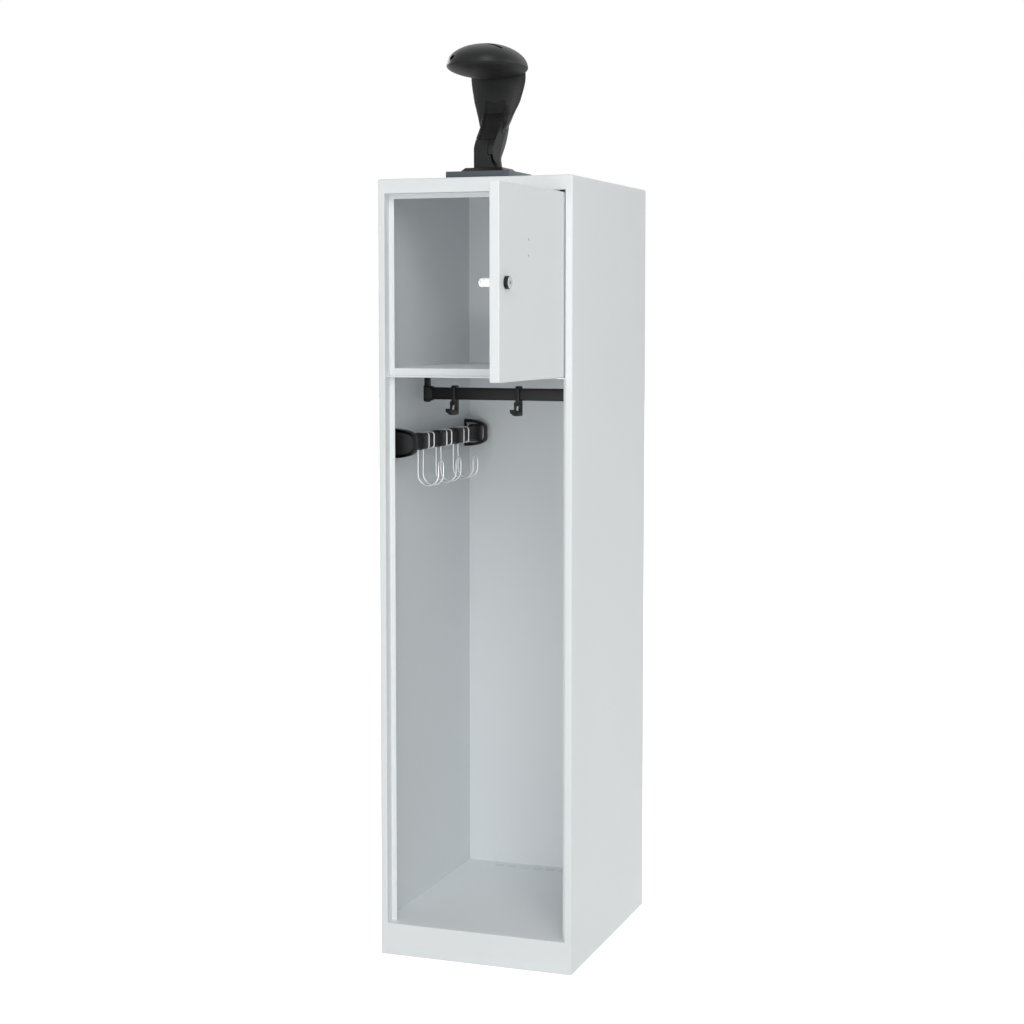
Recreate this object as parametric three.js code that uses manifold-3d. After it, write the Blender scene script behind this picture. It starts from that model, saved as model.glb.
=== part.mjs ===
// Open-fronted steel locker for protective clothing, with a lockable upper compartment,
// a clothes rail with two sliding hooks, a side bar with three wire hooks and a helmet
// holder on the roof. Millimetres, +Z up, front towards -Y. The cabinet group is drawn
// with y = 0 on the front face, and the origin lies in the middle of the plinth's foot.
import * as THREE from "three";
import { mergeVertices } from "three/addons/utils/BufferGeometryUtils.js";
import Module from "manifold-3d";

const wasm = await Module();
wasm.setup();

// General
const seat = 0.3; // gap where one piece sits on another
const overrun = 6; // how far a cutting tool runs past the piece
const bendSteps = 3;
const rodSides = 16;
const screwSides = 8;
const halfShare = 0.5;

// Cabinet shell
const width = 480;
const depth = 600;
const height = 1850;
const sheet = 1;
const cornerRadius = 4.5;
const foldRadius = 2.5;
const stopRadius = 1.5;
const stileWidth = 17;
const rebateDepth = 28;
const stopWidth = 12.5;
const rearFlange = 20;
const backSetback = 9;
const fasciaHeight = 34;
const topStop = 11;
const plinthHeight = 77;
const plinthFlange = 30;
const trayFlange = 20;

// Slots in the floor panel
const slotLength = 24;
const slotWidth = 4;
const slotPitch = 36;
const slotRowPitch = 12;
const slotsPerRow = 9;
const slotInset = 24; // rear row, in front of the back panel

// Shelf under the upper compartment
const shelfFromTop = 442;
const bandHeight = 17.5;
const ledgeDepth = 15;
const ledgeLip = 3.5;

// Door
const doorSideGap = 4;
const doorDepth = 22;
const doorTopGap = 5;
const doorFootGap = 1.5;
const doorFoldRadius = 2;
const doorReturn = 12;
const hingeFromEdge = 6;
const hingeFromFace = 7;
const doorOpen = Math.PI / 2;
const stiffenerWidth = 60;
const stiffenerDepth = 14;
const stiffenerFlange = 12;
const cardHolePitchX = 66;
const cardHolePitchZ = 35;
const cardHoleRadius = 1.6;
const cardHoleFromFree = 187;
const cardHoleFromTop = 133; // below the door's top edge
const bufferRadius = 6;
const bufferInset = 55; // from the door's side edges

// Door pivots
const pinRadius = 2.5;
const pinHeadRadius = 4.5;
const pinHeadHeight = 3;
const bushRadius = 4;
const bushFlangeRadius = 6;
const bushFlange = 0.6;
const pivotPlate = 3;
const pivotPlateWidth = 22;
const pivotTabHeight = 16;

// Cam lock
const lockFromFree = 39.5;
const lockFromTop = 210.5;
const rosetteRadius = 14.5;
const rosetteHeight = 10;
const rosetteBevel = 2;
const rosetteSides = 28;
const housingRadius = 10;
const housingReach = 53; // behind the door's outer face
const plugRadius = 6;
const keySlotLength = 8;
const keySlotWidth = 2;
const keySlotDepth = 12;
const nutAcross = 27;
const nutSides = 6;
const nutHeight = 7;
const camThickness = 3;
const camReach = 40;
const camStep = 15; // from the lock's centre to the crank
const camWidth = 18;
const camPlay = 1; // behind the stop flange
const camScrewHead = 4.5;
const camScrewHeadHeight = 3;
const camScrewShank = 2.2;

// Clothes rail
const railHeight = 30;
const railDepth = 15;
const railBelowShelf = 67;
const railFromFront = 240;
const railEndSink = 5;
const strapWidth = 15.5;
const strapFromWall = 11;
const strapDepth = 10;
const strapFoot = 7; // below the rail
const railSocketWall = 3;
const railCollar = 8;
const collarSink = 1; // of the collar into its strap
const railFootLength = 56;
const railFootThickness = 3;
const railScrewPitch = 40;

// Sliding hooks on the rail
const hookWidth = 17.5;
const hookWall = 4;
const hookClearance = 0.5;
const hookDrop = 55; // from the rail's centre to the hook's foot
const hookForward = 38;
const hookTip = 16;
const hookThickness = 8;
const hookBend = 12;
const hookPlaceShares = [-0.3021, 0.0458]; // of the width, from the middle
const hookEyeWidth = 5;
const hookEyeHeight = 9;

// Side bar
const barFromWall = 32;
const barBelowShelf = 181.5;
const neckWidth = 25;
const neckHeight = 35;
const blockWidth = 30;
const blockHeight = 40;
const barEndWidth = 33;
const barEndHeight = 45;
const barRadius = 6;
const neckHalf = 19.5;
const firstNeck = 20; // plain stretch behind the front bracket
const stripThickness = 1.5;
const stripHeight = 79;
const bracketHeight = 71;
const bracketReach = 62;
const bracketRadius = 18;
const bracketWall = 5;
const bracketDepth = 22;
const bracketPlate = 3;
const bracketCap = 3;
const frontBracketAt = 66;
const rearBracketFromRear = 56;
const bracketScrewRise = 25.5;

// Wire hooks
const wireRadius = 1.75;
const wirePair = 33;
const wirePlaceShares = [0.3086, 0.5544, 0.8013]; // of the way from bracket to bracket
const wireHookWidth = 54;
const wireDrop = 112.5; // from the bar's middle to the bow's foot
const wireRise = 66; // from the bow's foot to the tip
const wireSides = 6;
const wireSteps = 66;
const wireEnd = 4; // how far the loop's end stops short of the bar's middle

// Helmet holder
const holderFromFront = 103.5;
const plateSize = 157;
const plateHeight = 15;
const plateSheet = 2;
const plateScrewInset = 14;
const footSizeX = 106;
const footSizeY = 96;
const footHeight = 10;
const footBevel = 7;
const neckFootHalfX = 27;
const neckFootHalfY = 22;
const neckBendLevel = 72;
const neckWaistLevel = 132;
const neckWaistBack = 40;
const neckWaistHalfX = 30;
const neckWaistHalfY = 25;
const neckFlareLevel = 200;
const neckFlareHalfX = 47;
const neckFlareHalfY = 40;
const neckTopBack = 52;
const neckTopHalfX = 62;
const neckTopHalfY = 54;
const neckCornerShares = [5, 4, 3.4, 3]; // squareness at the foot, waist, flare and top
const neckSocket = 6;
const neckWall = 4;
const neckFloor = 12;
const neckScrewPitch = 24;
const neckScrewLength = 22;
const neckScrewHead = 4;
const neckScrewHeadHeight = 4;
const neckScrewShank = 2.2;
const headHalfX = 93;
const headHalfY = 112;
const headRimRise = 260; // above the roof
const headDome = 56;
const headKeel = 23;
const headWall = 4;
const headKeelShare = 0.5; // flat middle of the tray
const headForward = 10; // of the middle of the neck's foot
const headSides = 28;
const headSteps = 6;
const neckSides = 28;
const insertSink = 1.2; // of the darker inset below the neck's surface
const insertFootHalf = 15;
const insertTopHalf = 21;
const insertFootLevel = 86;
const insertTopLevel = 168;
const insertNotch = 8;
const coverEdge = 6; // right edge of the foot cover, from the neck's middle
const coverLevel = 84;
const coverReveal = 0.8;

// Screws
const screwHead = 4;
const screwHeadHeight = 2.4;
const screwShank = 1.8;
const screwLength = 8;

// Places worked out from the sizes above
const halfWidth = width / 2;
const wallInside = halfWidth - sheet;
const openingHalf = halfWidth - stileWidth;
const openingTop = height - fasciaHeight;
const backFace = depth - backSetback;
const rearClear = depth - foldRadius; // clear of the fold at the side panels' rear
const stopHalf = openingHalf - stopWidth;
const frontSpan = openingHalf + foldRadius - seat;
const trayHalf = wallInside - seat;
const trayBack = backFace - seat;
const shelfLevel = height - shelfFromTop;
const ledgeLevel = shelfLevel - bandHeight;
const doorFoot = ledgeLevel + doorFootGap;
const doorTop = openingTop - doorTopGap;
const doorWidth = 2 * (openingHalf - doorSideGap);
const cardHoleLevel = doorTop - cardHoleFromTop;
const lockLevel = doorTop - lockFromTop;
const railLevel = shelfLevel - railBelowShelf;
const barLevel = shelfLevel - barBelowShelf;
const hookPlaces = hookPlaceShares.map((share) => share * width);
const rearBracketAt = depth - rearBracketFromRear;
const bracketSpan = rearBracketAt - frontBracketAt;
const wireHookPlaces = wirePlaceShares.map((share) => frontBracketAt + share * bracketSpan);
const hingeX = doorWidth / 2 - hingeFromEdge;
const hingePlace = [hingeX, hingeFromFace, 0];
const doorInside = doorDepth - hingeFromFace; // inner side, from the hinge axis
const doorFree = hingeFromEdge - doorWidth; // free edge, from the hinge axis

// Outlines

const vector = ([x, y]) => new THREE.Vector2(x, y);
const leftOf = (direction) => new THREE.Vector2(-direction.y, direction.x);

// Corners [x, y, radius] as points, each with the vector that offsets it by one to the left.
function rounded(corners, closed = false) {
  const count = corners.length;
  const points = [];
  corners.forEach((corner, i) => {
    const here = vector(corner);
    const radius = corner[2] ?? 0;
    const first = !closed && i === 0;
    const last = !closed && i === count - 1;
    const next = vector(corners[(i + 1) % count]).sub(here).normalize();
    const previous = here.clone().sub(vector(corners[(i + count - 1) % count])).normalize();
    const before = first ? next : previous;
    const after = last ? previous : next;
    if (!radius) {
      const mitre = leftOf(before).add(leftOf(after));
      points.push({ at: here, left: mitre.divideScalar(1 + before.dot(after)) });
      return;
    }
    const turn = Math.atan2(before.cross(after), before.dot(after));
    const side = Math.sign(turn);
    const centre = here
      .clone()
      .addScaledVector(before, -radius * Math.tan(Math.abs(turn) / 2))
      .addScaledVector(leftOf(before), side * radius);
    for (let k = 0; k <= bendSteps; k++) {
      const left = leftOf(before).rotateAround(new THREE.Vector2(), (turn * k) / bendSteps);
      points.push({ at: centre.clone().addScaledVector(left, -side * radius), left });
    }
  });
  return points;
}

// A filled outline, and a sheet of one thickness bent along a path.
const outline = (corners) => rounded(corners, true).map((point) => point.at);
function bentSheet(corners, thickness) {
  const path = rounded(corners);
  const inner = path.map(({ at, left }) => at.clone().addScaledVector(left, thickness));
  return [...path.map((point) => point.at), ...inner.reverse()];
}

function rectangle(halfX, halfY, radius, x = 0, y = 0) {
  return outline([
    [x - halfX, y - halfY, radius],
    [x + halfX, y - halfY, radius],
    [x + halfX, y + halfY, radius],
    [x - halfX, y + halfY, radius],
  ]);
}

// Solids

function solid(geometry) {
  const bare = geometry.clone();
  bare.deleteAttribute("normal");
  bare.deleteAttribute("uv");
  const merged = mergeVertices(bare);
  const corners = new Uint32Array(merged.index.array);
  const build = () =>
    new wasm.Manifold(
      new wasm.Mesh({
        numProp: 3,
        vertProperties: merged.attributes.position.array,
        triVerts: corners,
      }),
    );
  const made = build();
  if (made.volume() > 0) return made;
  for (let i = 0; i < corners.length; i += 3) {
    [corners[i + 1], corners[i + 2]] = [corners[i + 2], corners[i + 1]];
  }
  return build();
}

const axisX = new THREE.Vector3(1, 0, 0);
const axisY = new THREE.Vector3(0, 1, 0);
const axisZ = new THREE.Vector3(0, 0, 1);
const upright = {
  z: new THREE.Matrix4(),
  x: new THREE.Matrix4().makeBasis(axisY, axisZ, axisX),
  y: new THREE.Matrix4().makeBasis(axisX, axisZ, axisY.clone().negate()),
};

// An outline extruded along an axis: (x, y) along z, (y, z) along x, (x, z) along y.
function prism(axis, points, from, to) {
  const settings = { depth: to - from, bevelEnabled: false, steps: 1 };
  const body = new THREE.ExtrudeGeometry(new THREE.Shape(points), settings);
  body.applyMatrix4(upright[axis]);
  const shift = { x: [from, 0, 0], y: [0, to, 0], z: [0, 0, from] }[axis];
  return solid(body.translate(...shift));
}

function block([x0, x1], [y0, y1], [z0, z1]) {
  const body = new THREE.BoxGeometry(x1 - x0, y1 - y0, z1 - z0);
  return solid(body.translate((x0 + x1) / 2, (y0 + y1) / 2, (z0 + z1) / 2));
}

// A profile of [radius, place] turned about an axis through a centre.
function turned(axis, profile, centre = [0, 0, 0], sides = rodSides) {
  const body = new THREE.LatheGeometry(profile.map(vector), sides);
  if (axis === "z") body.rotateX(Math.PI / 2);
  if (axis === "x") body.rotateZ(-Math.PI / 2);
  return solid(body.translate(...centre));
}

const rod = (axis, radius, from, to, centre, sides) =>
  turned(axis, [[0, from], [radius, from], [radius, to], [0, to]], centre, sides);

function ring(axis, inner, outer, from, to, centre) {
  const profile = [[inner, from], [outer, from], [outer, to], [inner, to], [inner, from]];
  return turned(axis, profile, centre);
}

const cut = (body, tools) => tools.reduce((rest, tool) => rest.subtract(tool), body);
const join = (bodies) => bodies.reduce((all, body) => all.add(body));
const mirrored = (make) => [make(-1), make(1)];
const span = (a, b) => [Math.min(a, b), Math.max(a, b)];

// Materials
const finish = (color, roughness, metalness) =>
  new THREE.MeshStandardMaterial({ color, roughness, metalness });
const paint = finish(0xdcddde, 0.5, 0);
const zinc = finish(0xc8cacb, 0.35, 0.9);
const blackPlastic = finish(0x26282a, 0.5, 0);
const whiteNylon = finish(0xe8e8e2, 0.5, 0);
const rubber = finish(0x1c1c1c, 0.8, 0);
const slatePaint = finish(0x4b555c, 0.5, 0);

function piece(name, body, material, parent) {
  const { vertProperties, triVerts } = body.getMesh();
  const geometry = new THREE.BufferGeometry();
  geometry.setAttribute("position", new THREE.BufferAttribute(vertProperties, 3));
  geometry.setIndex(new THREE.BufferAttribute(triVerts, 1));
  geometry.computeVertexNormals();
  const mesh = new THREE.Mesh(geometry, material.clone());
  mesh.name = name;
  parent.add(mesh);
  return mesh;
}

// A pan-head screw along an axis, with its seat at place 0 and its head on the given side.
const smallScrew = [screwHead, screwHeadHeight, screwShank];
function screw(axis, side, centre, length, sizes = smallScrew) {
  const [head, headHeight, shank] = sizes;
  const profile = [
    [0, -side * length],
    [shank, -side * length],
    [shank, 0],
    [head, 0],
    [head, side * headHeight * halfShare],
    [head * halfShare, side * headHeight],
    [0, side * headHeight],
  ];
  return turned(axis, profile, centre, screwSides);
}

const part = new THREE.Group();
const cabinet = new THREE.Group();
cabinet.position.y = -plinthFlange / 2;
part.add(cabinet);

// Cabinet shell

function sidePanel(side) {
  const section = bentSheet(
    [
      [side * (halfWidth - rearFlange), depth],
      [side * halfWidth, depth, foldRadius],
      [side * halfWidth, 0, cornerRadius],
      [side * openingHalf, 0, foldRadius],
      [side * openingHalf, rebateDepth, stopRadius],
      [side * stopHalf, rebateDepth],
    ],
    -side * sheet,
  );
  const notchX = span(side * (openingHalf + foldRadius), side * (stopHalf - overrun));
  const notchY = [-overrun, rebateDepth + sheet + overrun];
  return cut(prism("z", section, 0, height), [
    block(notchX, notchY, [openingTop - seat, height + overrun]),
    block(notchX, notchY, [-overrun, plinthHeight + seat]),
  ]);
}

piece("left_side_panel", sidePanel(-1), paint, cabinet);
piece("right_side_panel", sidePanel(1), paint, cabinet);

function backPanel() {
  const front = backFace;
  const rear = rearClear;
  const top = height - sheet - seat;
  return join([
    block([-trayHalf, trayHalf], [front, front + sheet], [0, top]),
    ...mirrored((side) =>
      block(span(side * trayHalf, side * (trayHalf - sheet)), [front, rear], [0, top]),
    ),
    block([-trayHalf, trayHalf], [front, rear], [top - sheet, top]),
    block([-trayHalf, trayHalf], [front, rear], [0, sheet]),
  ]);
}
piece("back_panel", backPanel(), paint, cabinet);

// Corner tools that let a full-width sheet pass behind the two stiles.
const frontCorners = (levels) =>
  mirrored((side) => [
    block(span(side * frontSpan, side * (halfWidth + overrun)), [-overrun, sheet + seat], levels),
    block(
      span(side * (halfWidth - cornerRadius), side * (halfWidth + overrun)),
      [-overrun, cornerRadius],
      levels,
    ),
  ]).flat();

const plateScrewPlaces = mirrored((sideX) =>
  mirrored((sideY) => [
    sideX * (plateSize / 2 - plateScrewInset),
    holderFromFront + sideY * (plateSize / 2 - plateScrewInset),
  ]),
).flat();

function topPanel() {
  const section = bentSheet(
    [
      [rearClear, height],
      [0, height, cornerRadius],
      [0, openingTop, foldRadius],
      [rebateDepth, openingTop, stopRadius],
      [rebateDepth, openingTop - topStop],
    ],
    sheet,
  );
  const below = [openingTop - topStop - overrun, height - sheet];
  return cut(prism("x", section, -trayHalf, trayHalf), [
    ...frontCorners([below[0], height + overrun]),
    ...mirrored((side) =>
      block(
        span(side * frontSpan, side * (halfWidth + overrun)),
        [-overrun, rebateDepth + overrun],
        below,
      ),
    ),
    ...mirrored((side) =>
      block(
        span(side * (stopHalf - seat), side * halfWidth),
        [-overrun, rebateDepth + overrun],
        [below[0], openingTop],
      ),
    ),
    rod("z", bushRadius + seat, openingTop - overrun, openingTop + overrun, hingePlace),
    ...plateScrewPlaces.map(([x, y]) =>
      rod("z", screwShank + seat, height - overrun, height + overrun, [x, y, 0], screwSides),
    ),
  ]);
}
piece("top_panel", topPanel(), paint, cabinet);

function floorSlots() {
  const tools = [];
  for (let row = 0; row < 2; row++) {
    const y = backFace - slotInset - row * slotRowPitch;
    for (let i = 0; i < slotsPerRow; i++) {
      const x = (i - (slotsPerRow - 1) / 2) * slotPitch;
      const slot = rectangle(slotLength / 2, slotWidth / 2, slotWidth / 2, x, y);
      tools.push(prism("z", slot, plinthHeight - overrun, plinthHeight + overrun));
    }
  }
  return tools;
}

function floorPanel() {
  const section = bentSheet(
    [
      [trayBack, plinthHeight - trayFlange],
      [trayBack, plinthHeight, foldRadius],
      [0, plinthHeight, foldRadius],
      [0, 0, foldRadius],
      [plinthFlange, 0],
    ],
    sheet,
  );
  const below = [-overrun, plinthHeight - sheet];
  const folded = cut(prism("x", section, -trayHalf, trayHalf), [
    ...frontCorners([-overrun, plinthHeight + overrun]),
    ...mirrored((side) =>
      block(
        span(side * frontSpan, side * (halfWidth + overrun)),
        [-overrun, plinthFlange + overrun],
        below,
      ),
    ),
  ]);
  const flanges = mirrored((side) =>
    block(
      span(side * trayHalf, side * (trayHalf - sheet)),
      [plinthFlange + overrun, trayBack - sheet],
      [plinthHeight - trayFlange, plinthHeight - sheet * halfShare],
    ),
  );
  return cut(join([folded, ...flanges]), floorSlots());
}
piece("floor_panel", floorPanel(), paint, cabinet);

// The shelf's front edge is folded down, forwards and down again: a band and a ledge.
const strapCentre = wallInside - strapFromWall - strapWidth / 2;
const railScrewPlaces = mirrored((side) =>
  mirrored((end) => [side * strapCentre, railFromFront + (end * railScrewPitch) / 2]),
);

function shelfPanel() {
  const ledgeFront = rebateDepth - ledgeDepth;
  const section = bentSheet(
    [
      [trayBack, shelfLevel - trayFlange],
      [trayBack, shelfLevel, foldRadius],
      [rebateDepth, shelfLevel, foldRadius],
      [rebateDepth, ledgeLevel, stopRadius],
      [ledgeFront, ledgeLevel, stopRadius],
      [ledgeFront, ledgeLevel - ledgeLip],
    ],
    sheet,
  );
  const levels = [ledgeLevel - ledgeLip - overrun, shelfLevel + overrun];
  const behindStop = rebateDepth + sheet + seat;
  const folded = cut(prism("x", section, -trayHalf, trayHalf), [
    ...mirrored((side) =>
      block(
        span(side * (stopHalf - seat), side * (halfWidth + overrun)),
        [rebateDepth - stopRadius - seat, behindStop],
        levels,
      ),
    ),
    ...mirrored((side) =>
      block(
        span(side * (openingHalf - seat), side * (halfWidth + overrun)),
        [-overrun, behindStop],
        levels,
      ),
    ),
  ]);
  const flanges = mirrored((side) =>
    block(
      span(side * trayHalf, side * (trayHalf - sheet)),
      [behindStop, trayBack - sheet],
      [shelfLevel - trayFlange, shelfLevel - sheet * halfShare],
    ),
  );
  const screwHoles = railScrewPlaces
    .flat()
    .map(([x, y]) =>
      rod("z", screwShank + seat, shelfLevel - overrun, shelfLevel + overrun, [x, y, 0], screwSides),
    );
  return cut(join([folded, ...flanges]), screwHoles);
}
piece("shelf", shelfPanel(), paint, cabinet);

// Door, drawn closed about its hinge axis and turned open

const door = new THREE.Group();
door.position.set(...hingePlace);
door.rotation.z = doorOpen;
cabinet.add(door);

const doorFace = -hingeFromFace;
const faceInside = doorFace + sheet;
const lockX = doorFree + lockFromFree;
const lockCentre = [lockX, 0, lockLevel];

function doorPanel() {
  const wrap = bentSheet(
    [
      [hingeFromEdge - doorReturn, doorInside],
      [hingeFromEdge, doorInside, doorFoldRadius],
      [hingeFromEdge, doorFace, doorFoldRadius],
      [doorFree, doorFace, doorFoldRadius],
      [doorFree, doorInside, doorFoldRadius],
      [doorFree + doorReturn, doorInside],
    ],
    -sheet,
  );
  const lid = outline([
    [hingeFromEdge, doorInside, doorFoldRadius],
    [hingeFromEdge, doorFace, doorFoldRadius],
    [doorFree, doorFace, doorFoldRadius],
    [doorFree, doorInside, doorFoldRadius],
  ]);
  const through = [doorFace - overrun, faceInside + overrun];
  const cardHoles = mirrored((row) =>
    mirrored((column) => {
      const x = doorFree + cardHoleFromFree + ((1 + column) * cardHolePitchX) / 2;
      const level = cardHoleLevel + (row * cardHolePitchZ) / 2;
      return rod("y", cardHoleRadius, ...through, [x, 0, level], screwSides);
    }),
  ).flat();
  const pinRange = [doorFoot - overrun, doorTop + overrun];
  return cut(
    join([
      prism("z", wrap, doorFoot, doorTop),
      prism("z", lid, doorFoot, doorFoot + sheet),
      prism("z", lid, doorTop - sheet, doorTop),
    ]),
    [
      rod("z", pinRadius + seat, ...pinRange),
      rod("y", housingRadius + seat, ...through, lockCentre),
      ...cardHoles,
    ],
  );
}
piece("door_panel", doorPanel(), paint, door);

function doorStiffener() {
  const middle = (doorFree + hingeFromEdge) / 2;
  const base = faceInside + seat;
  const half = stiffenerWidth / 2;
  const rise = base + stiffenerDepth;
  const section = bentSheet(
    [
      [middle - half, base],
      [middle - half + stiffenerFlange, base, stopRadius],
      [middle - half + stiffenerFlange, rise, stopRadius],
      [middle + half - stiffenerFlange, rise, stopRadius],
      [middle + half - stiffenerFlange, base, stopRadius],
      [middle + half, base],
    ],
    sheet,
  );
  return prism("z", section, doorFoot + sheet + seat, doorTop - sheet - seat);
}
piece("door_stiffener", doorStiffener(), paint, door);

// Pivot pins: a headed pin held inside each corner of the door, turning in a nylon bush.
function pivotPin(plateSide, headSeat, tip) {
  const head = headSeat - plateSide * pinHeadHeight;
  return turned("z", [
    [0, tip],
    [pinRadius, tip],
    [pinRadius, headSeat],
    [pinHeadRadius, headSeat],
    [pinHeadRadius, head],
    [0, head],
  ]);
}
const pinTop = openingTop + sheet + overrun;
piece("upper_pivot_pin", pivotPin(1, doorTop - sheet - seat, pinTop), zinc, door);
const plateTop = ledgeLevel;
const plateFoot = plateTop - pivotPlate;
piece("lower_pivot_pin", pivotPin(-1, doorFoot + sheet + seat, plateFoot - seat), zinc, door);

function pivotBush(flangeFrom, flangeTo, end) {
  const bore = pinRadius + seat;
  return turned("z", [
    [bore, flangeFrom],
    [bushFlangeRadius, flangeFrom],
    [bushFlangeRadius, flangeTo],
    [bushRadius, flangeTo],
    [bushRadius, end],
    [bore, end],
    [bore, flangeFrom],
  ], hingePlace);
}
const upperBush = pivotBush(doorTop + seat, openingTop - seat, openingTop + sheet + pinHeadHeight);
piece("upper_pivot_bush", upperBush, whiteNylon, cabinet);
const lowerBush = pivotBush(plateTop + seat + bushFlange, plateTop + seat, plateFoot);
piece("lower_pivot_bush", lowerBush, whiteNylon, cabinet);

function lowerPivotBracket() {
  const wall = openingHalf - seat;
  const levels = [plateFoot, plateTop];
  const deep = [sheet, rebateDepth - ledgeDepth - seat];
  return cut(
    join([
      block([wall - pivotPlateWidth, wall], deep, levels),
      block([wall - sheet, wall], deep, [plateTop - pivotTabHeight, plateTop]),
    ]),
    [rod("z", bushRadius + seat, plateFoot - overrun, plateTop + overrun, hingePlace)],
  );
}
piece("lower_pivot_bracket", lowerPivotBracket(), zinc, cabinet);

// Cam lock

const rosetteFront = doorFace - seat - rosetteHeight;
const housingBack = doorFace + housingReach;
const rosette = turned("y", [
  [housingRadius + seat, doorFace - seat],
  [housingRadius + seat, rosetteFront],
  [rosetteRadius - rosetteBevel, rosetteFront],
  [rosetteRadius, rosetteFront + rosetteBevel],
  [rosetteRadius, doorFace - seat],
  [housingRadius + seat, doorFace - seat],
], lockCentre, rosetteSides);
piece("lock_rosette", rosette, blackPlastic, door);

const housingFront = rosetteFront + seat;
const housing = ring("y", plugRadius + seat, housingRadius, housingFront, housingBack, lockCentre);
piece("lock_housing", housing, zinc, door);

function lockNut() {
  const corner = nutAcross / 2 / Math.cos(Math.PI / nutSides);
  const hexagon = Array.from({ length: nutSides }, (_, i) => {
    const angle = (2 * Math.PI * i) / nutSides;
    return new THREE.Vector2(lockX + corner * Math.cos(angle), lockLevel + corner * Math.sin(angle));
  });
  const from = faceInside + seat;
  return cut(prism("y", hexagon, from, from + nutHeight), [
    rod("y", housingRadius + seat, from - overrun, from + nutHeight + overrun, lockCentre),
  ]);
}
piece("lock_nut", lockNut(), zinc, door);

function lockPlug() {
  const slot = block(
    [lockX - keySlotWidth / 2, lockX + keySlotWidth / 2],
    [housingFront - overrun, housingFront + keySlotDepth],
    [lockLevel - keySlotLength / 2, lockLevel + keySlotLength / 2],
  );
  const threadRange = [housingBack - screwLength - seat, housingBack + overrun];
  const thread = rod("y", camScrewShank + seat, ...threadRange, lockCentre, screwSides);
  const body = rod("y", plugRadius, housingFront, housingBack, lockCentre);
  return cut(body, [slot, thread]);
}
piece("lock_plug", lockPlug(), zinc, door);

// The cam's arm steps forwards beside the housing, so that its tongue passes just
// behind the stop flange once the door is closed.
const camFoot = housingBack + seat;
const tongueBack = rebateDepth + sheet - hingeFromFace + camPlay + camThickness;
function lockCam() {
  const half = camWidth / 2;
  const arm = bentSheet(
    [
      [0, camFoot + camThickness],
      [camStep + camThickness, camFoot + camThickness],
      [camStep + camThickness, tongueBack],
      [camReach, tongueBack],
    ],
    -camThickness,
  ).map((point) => new THREE.Vector2(lockX + point.x, point.y));
  const holeRange = [camFoot - overrun, camFoot + camThickness + overrun];
  return cut(
    join([
      prism("z", arm, lockLevel - half, lockLevel + half),
      rod("y", half, camFoot, camFoot + camThickness, lockCentre),
    ]),
    [rod("y", camScrewShank + seat, ...holeRange, lockCentre, screwSides)],
  );
}
piece("lock_cam", lockCam(), zinc, door);
const camScrewSizes = [camScrewHead, camScrewHeadHeight, camScrewShank];
const camScrewSeat = [lockX, camFoot + camThickness + seat, lockLevel];
piece("lock_cam_screw", screw("y", 1, camScrewSeat, screwLength, camScrewSizes), zinc, door);

// Rubber buffers on the foot of the door's inner side, which meet the shelf's band.
const bufferDepth = rebateDepth - doorDepth - 2 * seat;
[
  ["door_buffer_hinge_side", hingeFromEdge - bufferInset],
  ["door_buffer_free_side", doorFree + bufferInset],
].forEach(([name, x]) => {
  const level = doorFoot + bufferRadius;
  const from = doorInside + seat;
  piece(name, rod("y", bufferRadius, from, from + bufferDepth, [x, 0, level]), rubber, door);
});

// Clothes rail and its sliding hooks

const oval = (halfHeight, halfDepth, y = 0, z = 0) => {
  const points = [];
  const steps = 2 * bendSteps + 2;
  for (let end = 0; end < 2; end++) {
    const sign = 1 - 2 * end;
    for (let k = 0; k <= steps; k++) {
      const angle = (k / steps) * Math.PI + end * Math.PI;
      const rise = sign * (halfHeight - halfDepth);
      points.push(
        new THREE.Vector2(y + halfDepth * Math.cos(angle), z + rise + halfDepth * Math.sin(angle)),
      );
    }
  }
  return points;
};
const railOval = (grow) =>
  oval(railHeight / 2 + grow, railDepth / 2 + grow, railFromFront, railLevel);
const strapInner = strapCentre - strapWidth / 2;
const railEnd = strapInner + railEndSink;
piece("clothes_rail", prism("x", railOval(0), -railEnd, railEnd), blackPlastic, cabinet);

function railBracket(side) {
  const strapX = span(side * strapInner, side * (strapInner + strapWidth));
  const foot = railLevel - railHeight / 2 - strapFoot;
  const top = shelfLevel - sheet - seat;
  const halfBoss = railDepth / 2 + railSocketWall;
  const bossTop = railLevel + railHeight / 2 + railSocketWall;
  const collarFront = strapInner - railCollar;
  const collarX = span(side * collarFront, side * (strapInner + collarSink));
  const boreX = span(side * (railEnd + seat), side * (collarFront - overrun));
  const screwRange = [top - railFootThickness - overrun, top + overrun];
  return cut(
    join([
      block(strapX, [railFromFront - strapDepth / 2, railFromFront + strapDepth / 2], [foot, top]),
      block(strapX, [railFromFront - halfBoss, railFromFront + halfBoss], [foot, bossTop]),
      prism("x", railOval(railSocketWall), ...collarX),
      block(
        strapX,
        [railFromFront - railFootLength / 2, railFromFront + railFootLength / 2],
        [top - railFootThickness, top],
      ),
    ]),
    [
      prism("x", railOval(seat), ...boreX),
      ...mirrored((end) => {
        const place = [side * strapCentre, railFromFront + (end * railScrewPitch) / 2, 0];
        return rod("z", screwShank + seat, ...screwRange, place, screwSides);
      }),
    ],
  );
}
mirrored((side) => {
  const name = side < 0 ? "left" : "right";
  piece(`${name}_rail_bracket`, railBracket(side), blackPlastic, cabinet);
  const seatLevel = shelfLevel - sheet - 2 * seat - railFootThickness;
  mirrored((end) => {
    const place = [side * strapCentre, railFromFront + (end * railScrewPitch) / 2, seatLevel];
    const row = end < 0 ? "front" : "rear";
    const length = railFootThickness + seat + sheet;
    piece(`${name}_rail_screw_${row}`, screw("z", -1, place, length), zinc, cabinet);
  });
});

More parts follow.
